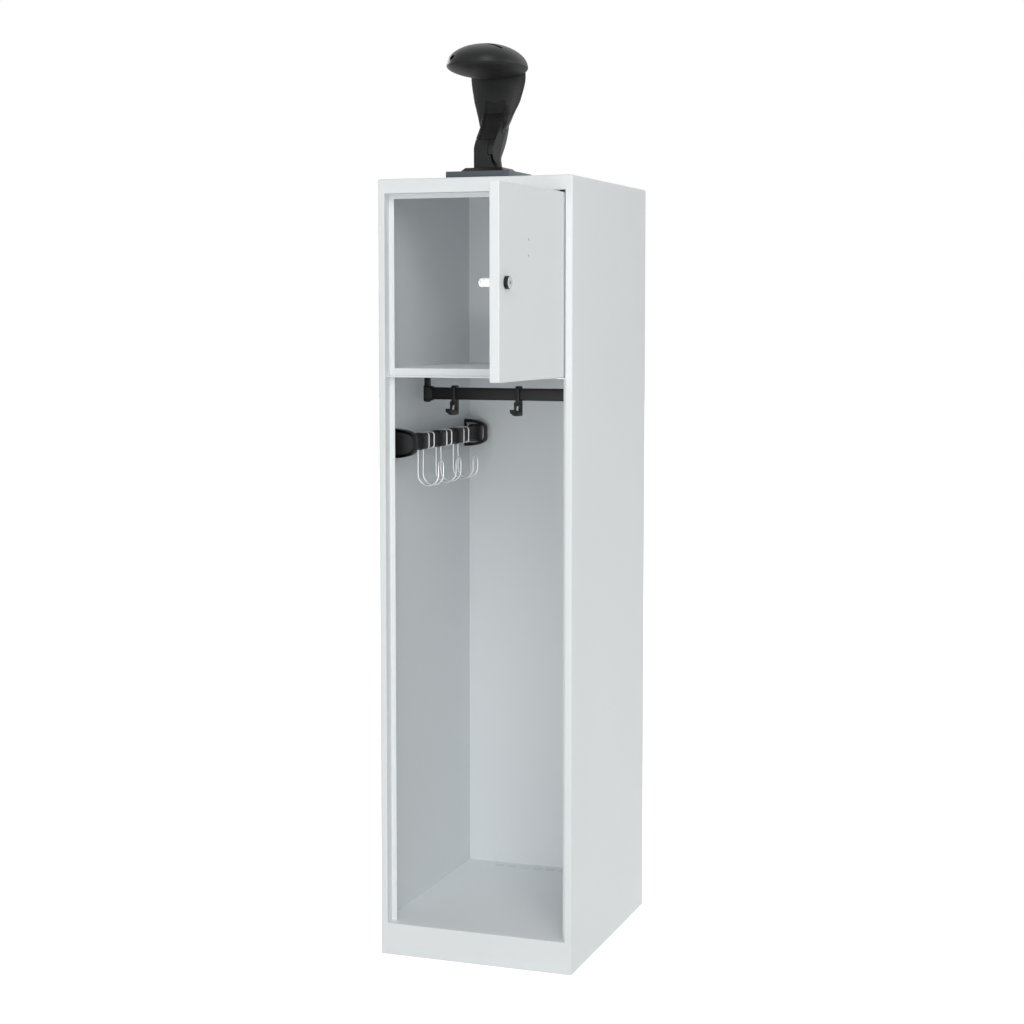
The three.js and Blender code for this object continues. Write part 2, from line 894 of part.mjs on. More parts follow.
// A collar round the rail, a stem below it and a beak that curls forwards and up.
function railHook(x) {
  const from = x - hookWidth / 2;
  const to = x + hookWidth / 2;
  const back = railFromFront + railDepth / 2 + hookClearance + hookWall;
  const foot = railLevel - hookDrop;
  const beak = railFromFront - hookForward;
  const inner = hookThickness;
  const stem = outline([
    [back, railLevel],
    [back, foot, hookBend],
    [beak, foot, hookBend],
    [beak, foot + hookTip, inner / 3],
    [beak + inner, foot + hookTip, inner / 3],
    [beak + inner, foot + inner, inner / 2],
    [back - inner - hookWall, foot + inner, inner / 2],
    [back - inner - hookWall, railLevel],
  ]);
  const eyeAt = foot + inner + hookTip;
  const collar = prism("x", railOval(hookClearance + hookWall), from, to);
  return cut(join([collar, prism("x", stem, from, to)]), [
    prism("x", railOval(hookClearance), from - overrun, to + overrun),
    block(
      [x - hookEyeWidth / 2, x + hookEyeWidth / 2],
      [back - inner - hookWall - overrun, back + overrun],
      [eyeAt - hookEyeHeight / 2, eyeAt + hookEyeHeight / 2],
    ),
  ]);
}
hookPlaces.forEach((x, i) => piece(`rail_hook_${i + 1}`, railHook(x), blackPlastic, cabinet));

// Side bar on the left wall

const barX = -wallInside + barFromWall;
const stripFace = -wallInside + seat + stripThickness;
const stripLevels = [barLevel - stripHeight / 2, barLevel + stripHeight / 2];
const stripDepth = [rebateDepth + sheet + seat, rearBracketAt + bracketDepth];
const bracketScrewHoles = (from, to) =>
  mirrored((rise) =>
    [frontBracketAt, rearBracketAt].map((start) =>
      rod("x", screwShank + seat, from, to, [
        0,
        start + bracketDepth / 2,
        barLevel + rise * bracketScrewRise,
      ], screwSides),
    ),
  ).flat();
const strip = cut(
  block([-wallInside + seat, stripFace], stripDepth, stripLevels),
  bracketScrewHoles(-wallInside - overrun, stripFace + overrun),
);
piece("wall_mounting_strip", strip, paint, cabinet);

// A rounded bracket standing out from the wall: a bent strap with a wall plate, and a
// tongue that carries the bar's end. The front one is closed by a cap.
const bracketRoot = stripFace + seat;
function barBracket(start, capped) {
  const end = start + bracketDepth;
  const half = bracketHeight / 2;
  const nose = -wallInside + bracketReach;
  const shell = [
    [bracketRoot, barLevel + half],
    [nose, barLevel + half, bracketRadius],
    [nose, barLevel - half, bracketRadius],
    [bracketRoot, barLevel - half],
  ];
  const strap = prism("y", bentSheet(shell, -bracketWall), start, end);
  const plateFace = bracketRoot + bracketPlate;
  const wallPlate = block([bracketRoot, plateFace], [start, end], [barLevel - half, barLevel + half]);
  const tongue = block(
    [bracketRoot, barX - barEndWidth / 2 - seat],
    [start, end],
    [barLevel - neckHeight / 2, barLevel + neckHeight / 2],
  );
  const bodies = [strap, wallPlate, tongue];
  if (capped) {
    const filled = rounded(shell).map((point) => point.at);
    bodies.push(prism("y", filled, start, start + bracketCap));
  }
  return cut(join(bodies), bracketScrewHoles(bracketRoot - overrun, plateFace + overrun));
}
piece("front_bar_bracket", barBracket(frontBracketAt, true), blackPlastic, cabinet);
piece("rear_bar_bracket", barBracket(rearBracketAt, false), blackPlastic, cabinet);
[["front", frontBracketAt], ["rear", rearBracketAt]].forEach(([name, start]) =>
  mirrored((rise) => {
    const row = rise < 0 ? "lower" : "upper";
    const place = [
      bracketRoot + bracketPlate + seat,
      start + bracketDepth / 2,
      barLevel + rise * bracketScrewRise,
    ];
    const length = bracketPlate + stripThickness + seat;
    piece(`${name}_bracket_screw_${row}`, screw("x", 1, place, length), zinc, cabinet);
  }),
);

// The bar: a slim core with thicker blocks between the places of the wire hooks.
function hookBar() {
  const stretch = (halfX, halfZ, from, to) =>
    prism("y", rectangle(halfX, halfZ, barRadius, barX, barLevel), from, to);
  const thick = (from, to) => stretch(blockWidth / 2, blockHeight / 2, from, to);
  const start = frontBracketAt + bracketCap + seat;
  const end = rearBracketAt + bracketDepth;
  const edges = [frontBracketAt + bracketDepth + firstNeck];
  wireHookPlaces.forEach((y) => edges.push(y - neckHalf, y + neckHalf));
  edges.push(rearBracketAt - seat);
  const blocks = [];
  for (let i = 0; i < edges.length; i += 2) blocks.push(thick(edges[i], edges[i + 1]));
  return join([
    stretch(neckWidth / 2, neckHeight / 2, start, end),
    ...blocks,
    stretch(barEndWidth / 2, barEndHeight / 2, start, frontBracketAt + bracketDepth),
    stretch(barEndWidth / 2, barEndHeight / 2, rearBracketAt, end),
  ]);
}
piece("hook_bar", hookBar(), blackPlastic, cabinet);

// One wire: round the bar, down the wall side, through the bow, up to the tip and back.
function wireHook(place) {
  const loopX = neckWidth / 2 + seat + wireRadius;
  const loopZ = neckHeight / 2 + seat + wireRadius;
  const turn = wireHookWidth / 2;
  const bow = wireRadius + turn - wireDrop;
  const tip = wireRise - wireDrop - wireRadius - wirePair / 2;
  const rounding = barRadius;
  const loop = rounded([
    [-wireEnd, -loopZ],
    [loopX, -loopZ, rounding],
    [loopX, loopZ, rounding],
    [-loopX, loopZ, rounding],
    [-loopX, bow],
  ]).map(({ at }) => [at.x, at.y]);
  const bowSteps = 4 * bendSteps;
  for (let k = 1; k <= bowSteps; k++) {
    const angle = Math.PI * (1 + k / bowSteps);
    loop.push([-loopX + turn + turn * Math.cos(angle), bow + turn * Math.sin(angle)]);
  }
  const tipX = -loopX + wireHookWidth;
  loop.push([tipX, (bow + tip) / 2], [tipX, tip]);
  const near = loop.map(([x, z]) => new THREE.Vector3(x, -wirePair / 2, z));
  const bend = [];
  const round = wirePair / 2;
  for (let k = 1; k < 2 * bendSteps; k++) {
    const angle = Math.PI * (1 - k / (2 * bendSteps));
    bend.push(new THREE.Vector3(tipX, round * Math.cos(angle), tip + round * Math.sin(angle)));
  }
  const far = near.map((point) => point.clone().setY(wirePair / 2)).reverse();
  const route = new THREE.CatmullRomCurve3([...near, ...bend, ...far], false, "centripetal");
  const section = new THREE.Shape(
    Array.from({ length: wireSides }, (_, i) => {
      const angle = (2 * Math.PI * i) / wireSides;
      return new THREE.Vector2(wireRadius * Math.cos(angle), wireRadius * Math.sin(angle));
    }),
  );
  const tube = new THREE.ExtrudeGeometry(section, { steps: wireSteps, extrudePath: route });
  return solid(tube.translate(barX, place, barLevel));
}
wireHookPlaces.forEach((y, i) => piece(`wire_hook_${i + 1}`, wireHook(y), zinc, cabinet));

// Helmet holder on the roof

const holder = new THREE.Group();
holder.position.set(0, holderFromFront, height);
cabinet.add(holder);

const plateTopLevel = seat + plateHeight;
const neckScrewHole = (side, from, to) =>
  rod("z", neckScrewShank + seat, from, to, [(side * neckScrewPitch) / 2, 0, 0], screwSides);

function holderPlate() {
  const half = plateSize / 2;
  const hollow = half - plateSheet;
  const through = [0, plateTopLevel + overrun];
  return cut(prism("z", rectangle(half, half, plateSheet), seat, plateTopLevel), [
    block([-hollow, hollow], [-hollow, hollow], [-overrun, plateTopLevel - plateSheet]),
    ...plateScrewPlaces.map(([x, y]) =>
      rod("z", screwShank + seat, ...through, [x, y - holderFromFront, 0], screwSides),
    ),
    ...mirrored((side) => neckScrewHole(side, ...through)),
  ]);
}
piece("holder_plate", holderPlate(), slatePaint, holder);
plateScrewPlaces.forEach(([x, y], i) => {
  const place = [x, y - holderFromFront, -sheet - seat];
  const length = sheet + 2 * seat + plateHeight - plateSheet * halfShare;
  piece(`holder_plate_screw_${i + 1}`, screw("z", -1, place, length), zinc, holder);
});

// A body lofted through sections [level, centre y, half width, half depth, corner share].
function lofted(sections, grow = 0) {
  const positions = [];
  const ringOf = ([level, y, halfX, halfY, squareness]) =>
    Array.from({ length: neckSides }, (_, i) => {
      const angle = (2 * Math.PI * (i + halfShare)) / neckSides;
      const power = 2 / squareness;
      const reach = (value) => Math.sign(value) * Math.abs(value) ** power;
      return new THREE.Vector3(
        (halfX + grow) * reach(Math.cos(angle)),
        y + (halfY + grow) * reach(Math.sin(angle)),
        level,
      );
    });
  const rings = sections.map(ringOf);
  const facet = (...points) => points.forEach((point) => positions.push(...point.toArray()));
  for (let r = 0; r + 1 < rings.length; r++) {
    for (let i = 0; i < neckSides; i++) {
      const j = (i + 1) % neckSides;
      facet(rings[r][i], rings[r][j], rings[r + 1][j]);
      facet(rings[r][i], rings[r + 1][j], rings[r + 1][i]);
    }
  }
  const close = (points, down) => {
    const middle = points
      .reduce((sum, point) => sum.add(point), new THREE.Vector3())
      .divideScalar(neckSides);
    points.forEach((point, i) => {
      const next = points[(i + 1) % neckSides];
      facet(middle, ...(down ? [next, point] : [point, next]));
    });
  };
  close(rings[0], true);
  close(rings[rings.length - 1], false);
  const geometry = new THREE.BufferGeometry();
  geometry.setAttribute("position", new THREE.Float32BufferAttribute(positions, 3));
  return solid(geometry);
}

const footTop = plateTopLevel + seat + footHeight;
const neckBase = footTop - neckSocket;
const neckFootSection = [0, neckFootHalfX, neckFootHalfY, neckCornerShares[0]];

function holderFoot() {
  const half = (grow) => rectangle(footSizeX / 2 + grow, footSizeY / 2 + grow, footBevel);
  const from = plateTopLevel + seat;
  const slab = prism("z", half(0), from, footTop);
  const bevels = mirrored((side) => [
    prism("y", [
      vector([side * (footSizeX / 2 - footBevel), footTop]),
      vector([side * (footSizeX / 2 + overrun), footTop + overrun]),
      vector([side * (footSizeX / 2 + overrun), footTop - footBevel - overrun]),
    ], -footSizeY, footSizeY),
    prism("x", [
      vector([side * (footSizeY / 2 - footBevel), footTop]),
      vector([side * (footSizeY / 2 + overrun), footTop + overrun]),
      vector([side * (footSizeY / 2 + overrun), footTop - footBevel - overrun]),
    ], -footSizeX, footSizeX),
  ]).flat();
  const socketLevels = [neckBase - seat, footTop + overrun];
  const socket = lofted(socketLevels.map((level) => [level, ...neckFootSection]), seat);
  const holes = mirrored((side) => neckScrewHole(side, 0, footTop));
  return cut(slab, [...bevels, socket, ...holes]);
}
piece("holder_foot", holderFoot(), blackPlastic, holder);

// The neck rises, leans back at its waist and opens out under the head.
const neckTopLevel = headRimRise - headWall - seat;
const neckSections = [
  [neckBase, ...neckFootSection],
  [neckBendLevel, ...neckFootSection],
  [neckWaistLevel, neckWaistBack, neckWaistHalfX, neckWaistHalfY, neckCornerShares[1]],
  [neckFlareLevel, neckTopBack, neckFlareHalfX, neckFlareHalfY, neckCornerShares[2]],
  [neckTopLevel, neckTopBack, neckTopHalfX, neckTopHalfY, neckCornerShares[3]],
];
const neckShell = (sink) => lofted(neckSections, -sink).subtract(neckHollow());

// Tools that take the inset and the foot cover out of the neck's front wall.
const neckFront = () =>
  lofted(neckSections.map(([level, y, ...rest]) => [level, y - rest[1], ...rest]), overrun);
function insertTool(grow) {
  const shape = outline([
    [-insertFootHalf - grow, insertFootLevel - grow],
    [insertFootHalf + grow, insertFootLevel - grow],
    [insertTopHalf + grow, insertTopLevel + grow],
    [0, insertTopLevel - insertNotch + grow],
    [-insertTopHalf - grow, insertTopLevel + grow],
  ]);
  return neckFront().intersect(prism("y", shape, -footSizeY, footSizeY));
}
const coverTool = (grow) =>
  block(
    [-neckFootHalfX - overrun, coverEdge + grow],
    [-neckFootHalfY - overrun, -neckFootHalfY + neckWall + grow],
    [footTop + seat - grow, coverLevel + grow],
  );

function neckHollow() {
  const top = neckSections[neckSections.length - 1];
  return lofted(
    [
      [neckBase + neckFloor, ...neckSections[0].slice(1)],
      ...neckSections.slice(1, -1),
      [top[0] + overrun, ...top.slice(1)],
    ],
    -neckWall,
  );
}

function neckBody() {
  const holeRange = [neckBase - overrun, neckBase + neckFloor + overrun];
  return cut(neckShell(0), [
    insertTool(coverReveal),
    coverTool(coverReveal),
    ...mirrored((side) => neckScrewHole(side, ...holeRange)),
  ]);
}
piece("holder_neck", neckBody(), blackPlastic, holder);
piece("holder_neck_inset", neckShell(insertSink).intersect(insertTool(0)), blackPlastic, holder);
piece("holder_foot_cover", lofted(neckSections).intersect(coverTool(0)), blackPlastic, holder);
const neckScrewSizes = [neckScrewHead, neckScrewHeadHeight, neckScrewShank];
mirrored((side) => {
  const name = side < 0 ? "left" : "right";
  const place = [(side * neckScrewPitch) / 2, 0, plateTopLevel - plateSheet - seat];
  const body = screw("z", -1, place, neckScrewLength, neckScrewSizes);
  piece(`holder_neck_screw_${name}`, body, zinc, holder);
});

// The head: a domed cap on a dished tray, both oval seen from above.
function dished(shares, rise, wall) {
  const quarter = (scale, height, from) =>
    Array.from({ length: headSteps + 1 }, (_, k) => {
      const angle = ((Math.PI / 2) * k) / headSteps;
      return [scale * (shares + (1 - shares) * Math.cos(angle)), from + height * Math.sin(angle)];
    });
  const outer = quarter(1, rise, 0);
  const inner = quarter(1 - wall / headHalfX, rise - Math.sign(rise) * wall, 0).reverse();
  const middle = shares > 0 ? [[0, rise], [0, rise - Math.sign(rise) * wall]] : [];
  const profile = [...outer, ...middle, ...inner];
  if (shares > 0) profile.push(outer[0]);
  return profile;
}
function headShell(profile, level) {
  const body = new THREE.LatheGeometry(profile.map(vector), headSides);
  body.rotateX(Math.PI / 2);
  body.scale(headHalfX, headHalfY, 1);
  return solid(body.translate(0, -headForward, level));
}
const headCap = () => {
  const outer = dished(0, headDome, headWall);
  return headShell([...outer, outer[0]], headRimRise + seat);
};
piece("holder_head_cap", headCap(), blackPlastic, holder);

function headTray() {
  const tray = headShell(dished(headKeelShare, -headKeel, headWall), headRimRise);
  return cut(tray, [lofted(neckSections.slice(-2), seat)]);
}
piece("holder_head_tray", headTray(), blackPlastic, holder);

export default part;
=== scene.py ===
import math

import bmesh
import bpy
from mathutils import Matrix, Vector


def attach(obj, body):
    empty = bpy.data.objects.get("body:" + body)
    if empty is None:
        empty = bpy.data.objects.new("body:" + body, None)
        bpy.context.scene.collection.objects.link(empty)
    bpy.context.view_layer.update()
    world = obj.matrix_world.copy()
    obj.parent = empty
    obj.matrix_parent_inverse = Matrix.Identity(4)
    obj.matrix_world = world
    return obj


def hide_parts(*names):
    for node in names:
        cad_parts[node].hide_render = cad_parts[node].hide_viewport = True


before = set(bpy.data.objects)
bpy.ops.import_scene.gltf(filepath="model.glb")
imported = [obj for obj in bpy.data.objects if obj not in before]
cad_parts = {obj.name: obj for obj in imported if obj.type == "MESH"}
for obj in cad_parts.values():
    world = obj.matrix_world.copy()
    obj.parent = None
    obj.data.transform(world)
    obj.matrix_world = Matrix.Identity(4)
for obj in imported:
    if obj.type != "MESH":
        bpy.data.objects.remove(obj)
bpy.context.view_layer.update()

# Sizes in millimetres. Depth is counted from the cabinet's front face towards its back.
MILLI = 0.001
FRONT = -15
WIDTH = 480
DEPTH = 600
HEIGHT = 1850
SHEET = 1
SEAT = 0.3
HALF = WIDTH / 2
OPENING = 223
OPENING_TOP = 1816
PLINTH = 77
REBATE = 28
STOP = 12.5
TOP_STOP = 11
CORNER = 4.5
FOLD = 2.5
STOP_FOLD = 1.5
FOOT_FLANGE = 30
REAR_FLANGE = 20
BACK = 591
SHELF = 1408
LEDGE = 1390.5
HINGE = (213, 7)
DOOR_FREE = -432
DOOR_EDGE = 6
DOOR_FOOT = 1392
DOOR_TOP = 1811
DOOR_FACE = -7
DOOR_INSIDE = 15
CARD_HOLES = ((DOOR_FREE + 184.5, 1660.5), (DOOR_FREE + 184.5, 1695.5))
CARD_HOLE_RADIUS = 2.4
LOCK = (-392.5, 1600.5)
LOCK_RADIUS = 10
LOCK_FRONT = DOOR_FACE - SEAT - 10
LOCK_BACK = DOOR_FACE + 53
RAIL = (240, 1341)
BAR = (-207, 1226.5)
BAR_NECK = (12.5, 17.5)
BAR_BLOCK = (15, 20)
BAR_END = (16.5, 22.5)
HOLDER = (0, 103.5, 1850)


# Materials, with their node maths written as Python sums


class Channel:
    """One value in a material, which adds, subtracts and multiplies like a number."""

    def __init__(self, finish, socket):
        self.finish = finish
        self.socket = socket

    def joined(self, operation, first, second):
        return self.finish.node("ShaderNodeMath", {"operation": operation}, {0: first, 1: second})

    def __add__(self, other):
        return self.joined("ADD", self, other)

    def __radd__(self, other):
        return self.joined("ADD", other, self)

    def __sub__(self, other):
        return self.joined("SUBTRACT", self, other)

    def __rsub__(self, other):
        return self.joined("SUBTRACT", other, self)

    def __mul__(self, other):
        return self.joined("MULTIPLY", self, other)

    def __rmul__(self, other):
        return self.joined("MULTIPLY", other, self)


class Finish:
    """A material and the one method that adds nodes to it."""

    def __init__(self, name, **constants):
        self.material = bpy.data.materials.new(name)
        self.material.use_nodes = True
        self.tree = self.material.node_tree
        self.shader = self.tree.nodes["Principled BSDF"]
        for socket, value in constants.items():
            self.shader.inputs[socket.replace("_", " ")].default_value = value

    def node(self, kind, settings=None, inputs=None, output=0):
        made = self.tree.nodes.new(kind)
        for key, value in (settings or {}).items():
            if key == "stops":
                self.place_stops(made.color_ramp, value)
            else:
                setattr(made, key, value)
        for key, value in (inputs or {}).items():
            self.feed(made.inputs[key], value)
        return Channel(self, made.outputs[output])

    def place_stops(self, ramp, stops):
        while len(ramp.elements) < len(stops):
            ramp.elements.new(1)
        for element, (place, colour) in zip(ramp.elements, stops):
            element.position = place
            element.color = colour

    def feed(self, socket, value):
        if isinstance(value, Channel):
            self.tree.links.new(value.socket, socket)
        else:
            socket.default_value = value

    def surface(self, **values):
        for socket, value in values.items():
            self.feed(self.shader.inputs[socket.replace("_", " ")], value)
        return self.material

    def place(self):
        return self.node("ShaderNodeTexCoord", output="Object")

    def noise(self, scale, detail=2, at=None):
        inputs = {"Vector": at or self.place(), "Scale": scale, "Detail": detail}
        return self.node("ShaderNodeTexNoise", inputs=inputs)

    def mix(self, factor, first, second):
        return self.node(
            "ShaderNodeMix", {"data_type": "RGBA"}, {0: factor, 6: first, 7: second}, output=2
        )

    def bump(self, height, strength, distance):
        return self.node(
            "ShaderNodeBump", inputs={"Strength": strength, "Distance": distance, "Height": height}
        )


def tone(red, green, blue):
    """An sRGB colour, 0 to 255, as the linear colour that a shader takes."""
    levels = [value / 255 for value in (red, green, blue)]
    linear = [v / 12.92 if v <= 0.04045 else ((v + 0.055) / 1.055) ** 2.4 for v in levels]
    return (*linear, 1)


def powder_coat(name, light, dark, rough):
    finish = Finish(name, Specular_IOR_Level=0.4)
    cloud = finish.noise(2.5, 3)
    peel = finish.noise(420, 2)
    speck = finish.noise(1600, 1)
    return finish.surface(
        Base_Color=finish.mix(cloud * 0.7 + speck * 0.3, light, dark),
        Roughness=peel * 0.12 + cloud * 0.06 + rough,
        Normal=finish.bump(peel * 0.8 + speck * 0.2, 0.12, 0.0004),
    )


def moulded_plastic(name, light, dark, rough, grain):
    finish = Finish(name, Specular_IOR_Level=0.25)
    pores = finish.node(
        "ShaderNodeTexVoronoi", {"feature": "SMOOTH_F1"}, {"Vector": finish.place(), "Scale": 900}
    )
    haze = finish.noise(14, 3)
    return finish.surface(
        Base_Color=finish.mix(haze, light, dark),
        Roughness=haze * 0.14 + pores * 0.1 + rough,
        Normal=finish.bump(pores, grain, 0.0003),
    )


def bright_metal(name, light, dark, rough, lines, metal=1.0):
    finish = Finish(name, Metallic=metal)
    drawn = finish.node("ShaderNodeMapping", inputs={"Vector": finish.place(), "Scale": lines})
    streak = finish.noise(60, 4, drawn)
    haze = finish.noise(25, 2)
    return finish.surface(
        Base_Color=finish.mix(streak * 0.5 + haze * 0.5, light, dark),
        Roughness=streak * 0.14 + haze * 0.08 + rough,
        Normal=finish.bump(streak, 0.08, 0.0002),
    )


PAINT = powder_coat(
    "light_grey_powder_coat", tone(235, 239, 240), tone(230, 234, 236), rough=0.36
)
SLATE = powder_coat("slate_grey_powder_coat", tone(76, 85, 92), tone(68, 77, 84), rough=0.22)
BLACK = moulded_plastic(
    "black_moulded_plastic", tone(27, 28, 29), tone(20, 21, 22), rough=0.28, grain=0.2
)
MATT_BLACK = moulded_plastic(
    "matt_black_plastic", tone(17, 17, 18), tone(13, 13, 14), rough=0.5, grain=0.3
)
RUBBER = moulded_plastic("black_rubber", tone(26, 26, 27), tone(20, 20, 21), rough=0.65, grain=0.4)
NYLON = moulded_plastic(
    "white_nylon", tone(232, 232, 226), tone(222, 222, 215), rough=0.4, grain=0.15
)
ZINC = bright_metal(
    "bright_zinc", tone(226, 228, 230), tone(206, 209, 212), rough=0.16, lines=(1, 1, 5)
)
NICKEL = bright_metal(
    "nickel_plating", tone(244, 245, 246), tone(232, 234, 236), rough=0.14, lines=(5, 1, 1)
)
SATIN = bright_metal(
    "satin_nickel", tone(196, 198, 200), tone(184, 186, 188), rough=0.34, lines=(1, 1, 1), metal=0.6
)
WIRE = bright_metal(
    "zinc_plated_wire",
    tone(250, 251, 252),
    tone(236, 238, 240),
    rough=0.2,
    lines=(1, 1, 0.2),
    metal=0.75,
)


# Meshes


def raw_mesh(name, vertices, faces, closed=True):
    """A mesh of points in millimetres, cleaned of doubled points and empty faces."""
    mesh = bpy.data.meshes.new(name)
    points = [(x * MILLI, (y + FRONT) * MILLI, z * MILLI) for x, y, z in vertices]
    mesh.from_pydata(points, [], faces)
    work = bmesh.new()
    work.from_mesh(mesh)
    bmesh.ops.remove_doubles(work, verts=work.verts, dist=1e-6)
    bmesh.ops.dissolve_degenerate(work, edges=work.edges, dist=1e-6)
    if closed:
        bmesh.ops.recalc_face_normals(work, faces=work.faces)
    work.to_mesh(mesh)
    work.free()
    thing = bpy.data.objects.new(name, mesh)
    bpy.context.scene.collection.objects.link(thing)
    return thing


def modify(thing, kind, **settings):
    """Adds a modifier and settles it in the mesh at once."""
    modifier = thing.modifiers.new(kind, kind)
    for key, value in settings.items():
        setattr(modifier, key, value)
    graph = bpy.context.evaluated_depsgraph_get()
    graph.update()
    settled = bpy.data.meshes.new_from_object(thing.evaluated_get(graph))
    thing.modifiers.clear()
    thing.data = settled
    return thing


def soften(thing, radius, segments=3, angle=30):
    return modify(
        thing,
        "BEVEL",
        width=radius * MILLI,
        segments=segments,
        limit_method="ANGLE",
        angle_limit=math.radians(angle),
    )


def combine(thing, others, operation):
    for other in others:
        modify(thing, "BOOLEAN", operation=operation, object=other, solver="EXACT")
        bpy.data.objects.remove(other)
    return thing


SHARP_ANGLE = 32


def joined(parts):
    """Several closed bodies that make one moulded or folded piece."""
    first, *rest = parts
    work = bmesh.new()
    for part in parts:
        work.from_mesh(part.data)
    work.to_mesh(first.data)
    work.free()
    for part in rest:
        bpy.data.objects.remove(part)
    return first


def fit(thing, name, material, body, replaced):
    """Names, paints and shades a piece, and lets it ride on its body."""
    thing.name = name
    thing.data.name = name
    thing.data.materials.clear()
    thing.data.materials.append(material)
    thing.data.shade_smooth()
    thing.data.set_sharp_from_angle(angle=math.radians(SHARP_ANGLE))
    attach(thing, body)
    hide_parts(*replaced)
    return thing


def arc(centre, radius, start, end, steps):
    """Points of a circle's arc, from start to end in degrees."""
    turns = [math.radians(start + (end - start) * i / steps) for i in range(steps + 1)]
    return [(centre[0] + radius * math.cos(t), centre[1] + radius * math.sin(t)) for t in turns]


def rounded(corners, closed=True, steps=6):
    """Corners (x, y, radius) as a path with round bends."""
    path = []
    count = len(corners)
    for i, (x, y, *rest) in enumerate(corners):
        here = Vector((x, y))
        radius = rest[0] if rest else 0
        if not radius or (not closed and i in (0, count - 1)):
            path.append((x, y))
            continue
        before = (here - Vector(corners[i - 1][:2])).normalized()
        after = (Vector(corners[(i + 1) % count][:2]) - here).normalized()
        turn = math.atan2(before.x * after.y - before.y * after.x, before.dot(after))
        side = math.copysign(1, turn)
        left = Vector((-before.y, before.x))
        reach = radius * math.tan(abs(turn) / 2)
        centre = here - before * reach + left * side * radius
        for k in range(steps + 1):
            spoke = Matrix.Rotation(turn * k / steps, 2) @ left
            path.append(tuple(centre - spoke * side * radius))
    return path


def offset(path, distance):
    """An open path moved sideways to its left."""
    moved = []
    for i, point in enumerate(path):
        here = Vector(point)
        before = (here - Vector(path[i - 1])).normalized() if i else None
        after = (Vector(path[i + 1]) - here).normalized() if i + 1 < len(path) else None
        before = before or after
        after = after or before
        normal = Vector((-before.y, before.x)) + Vector((-after.y, after.x))
        moved.append(tuple(here + normal * (distance / (1 + before.dot(after)))))
    return moved


def folded(corners, thickness):
    """The section of a sheet bent along a path."""
    path = rounded(corners, closed=False)
    return path + offset(path, thickness)[::-1]


AXES = {
    "x": lambda u, v, w: (w, u, v),
    "y": lambda u, v, w: (u, w, v),
    "z": lambda u, v, w: (u, v, w),
}


def prism(axis, section, start, end):
    """A section extruded along an axis: (y, z) along x, (x, z) along y, (x, y) along z."""
    place = AXES[axis]
    count = len(section)
    vertices = [place(u, v, w) for w in (start, end) for u, v in section]
    faces = [(i, (i + 1) % count, (i + 1) % count + count, i + count) for i in range(count)]
    faces += [tuple(range(count))[::-1], tuple(range(count, 2 * count))]
    return raw_mesh("prism", vertices, faces)


def box(x, y, z):
    section = [(x[0], y[0]), (x[1], y[0]), (x[1], y[1]), (x[0], y[1])]
    return prism("z", section, *z)


def block(half_x, half_y, radius=0, x=0, y=0):
    signs = [(-1, -1), (1, -1), (1, 1), (-1, 1)]
    return [(x + a * half_x, y + b * half_y, radius) for a, b in signs]


def skin(rings, capped=True):
    """Rings of points joined one after another, with a lid on each end."""
    count = len(rings[0])
    vertices = [point for ring in rings for point in ring]
    faces = []
    for r in range(len(rings) - 1):
        for i in range(count):
            j = (i + 1) % count
            low, high = r * count, (r + 1) * count
            faces.append((low + i, low + j, high + j, high + i))
    if capped:
        faces.append(tuple(range(count))[::-1])
        faces.append(tuple(range(len(vertices) - count, len(vertices))))
    return raw_mesh("skin", vertices, faces)


def turned(axis, profile, centre, sides=48):
    """A profile of (radius, place) turned about an axis. It closes or ends on the axis."""
    place = AXES[axis]
    rings = []
    for radius, along in profile:
        ring = arc((0, 0), radius, 0, 360 - 360 / sides, sides - 1)
        rings.append([place(u, v, along) for u, v in ring])
    body = skin(rings, capped=False)
    body.data.transform(Matrix.Translation(Vector(centre) * MILLI))
    return body


def tube(points, radius, sides=14):
    """A round wire along points, with a flat cut at each end."""
    path = [Vector(point) for point in points]
    rings = []
    across = None
    for i, here in enumerate(path):
        ahead = path[min(i + 1, len(path) - 1)] - path[max(i - 1, 0)]
        ahead.normalize()
        if across is None:
            across = ahead.orthogonal().normalized()
        across = (across - ahead * across.dot(ahead)).normalized()
        up = ahead.cross(across)
        turns = [2 * math.pi * k / sides for k in range(sides)]
        rings.append([here + (across * math.cos(t) + up * math.sin(t)) * radius for t in turns])
    return skin(rings)


def plate(outline, holes, low, high, axis="z"):
    """A flat plate between two levels, with holes cut through it."""
    curve = bpy.data.curves.new("plate", "CURVE")
    curve.dimensions = "2D"
    curve.fill_mode = "BOTH"
    curve.extrude = (high - low) / 2
    for path in [outline, *holes]:
        spline = curve.splines.new("POLY")
        spline.points.add(len(path) - 1)
        for point, (u, v) in zip(spline.points, path):
            point.co = (u, v, 0, 1)
        spline.use_cyclic_u = True
    holder = bpy.data.objects.new("plate", curve)
    bpy.context.scene.collection.objects.link(holder)
    graph = bpy.context.evaluated_depsgraph_get()
    graph.update()
    filled = bpy.data.meshes.new_from_object(holder.evaluated_get(graph))
    bpy.data.objects.remove(holder)
    middle = (high + low) / 2
    place = AXES[axis]
    vertices = [place(v.co.x, v.co.y, v.co.z + middle) for v in filled.vertices]
    return raw_mesh("plate", vertices, [tuple(face.vertices) for face in filled.polygons])


def circle(x, y, radius, sides=24):
    return arc((x, y), radius, 0, 360 - 360 / sides, sides - 1)


def opened(thing):
    """Turns a piece of the door from closed, about its hinge, to wide open."""
    hinge = Matrix.Translation((HINGE[0] * MILLI, (HINGE[1] + FRONT) * MILLI, 0))
    home = Matrix.Translation((0, -FRONT * MILLI, 0))
    thing.data.transform(hinge @ Matrix.Rotation(math.pi / 2, 4, "Z") @ home)
    return thing


# Cabinet shell: fascia, stiles, plinth, walls and roof in one welded skin

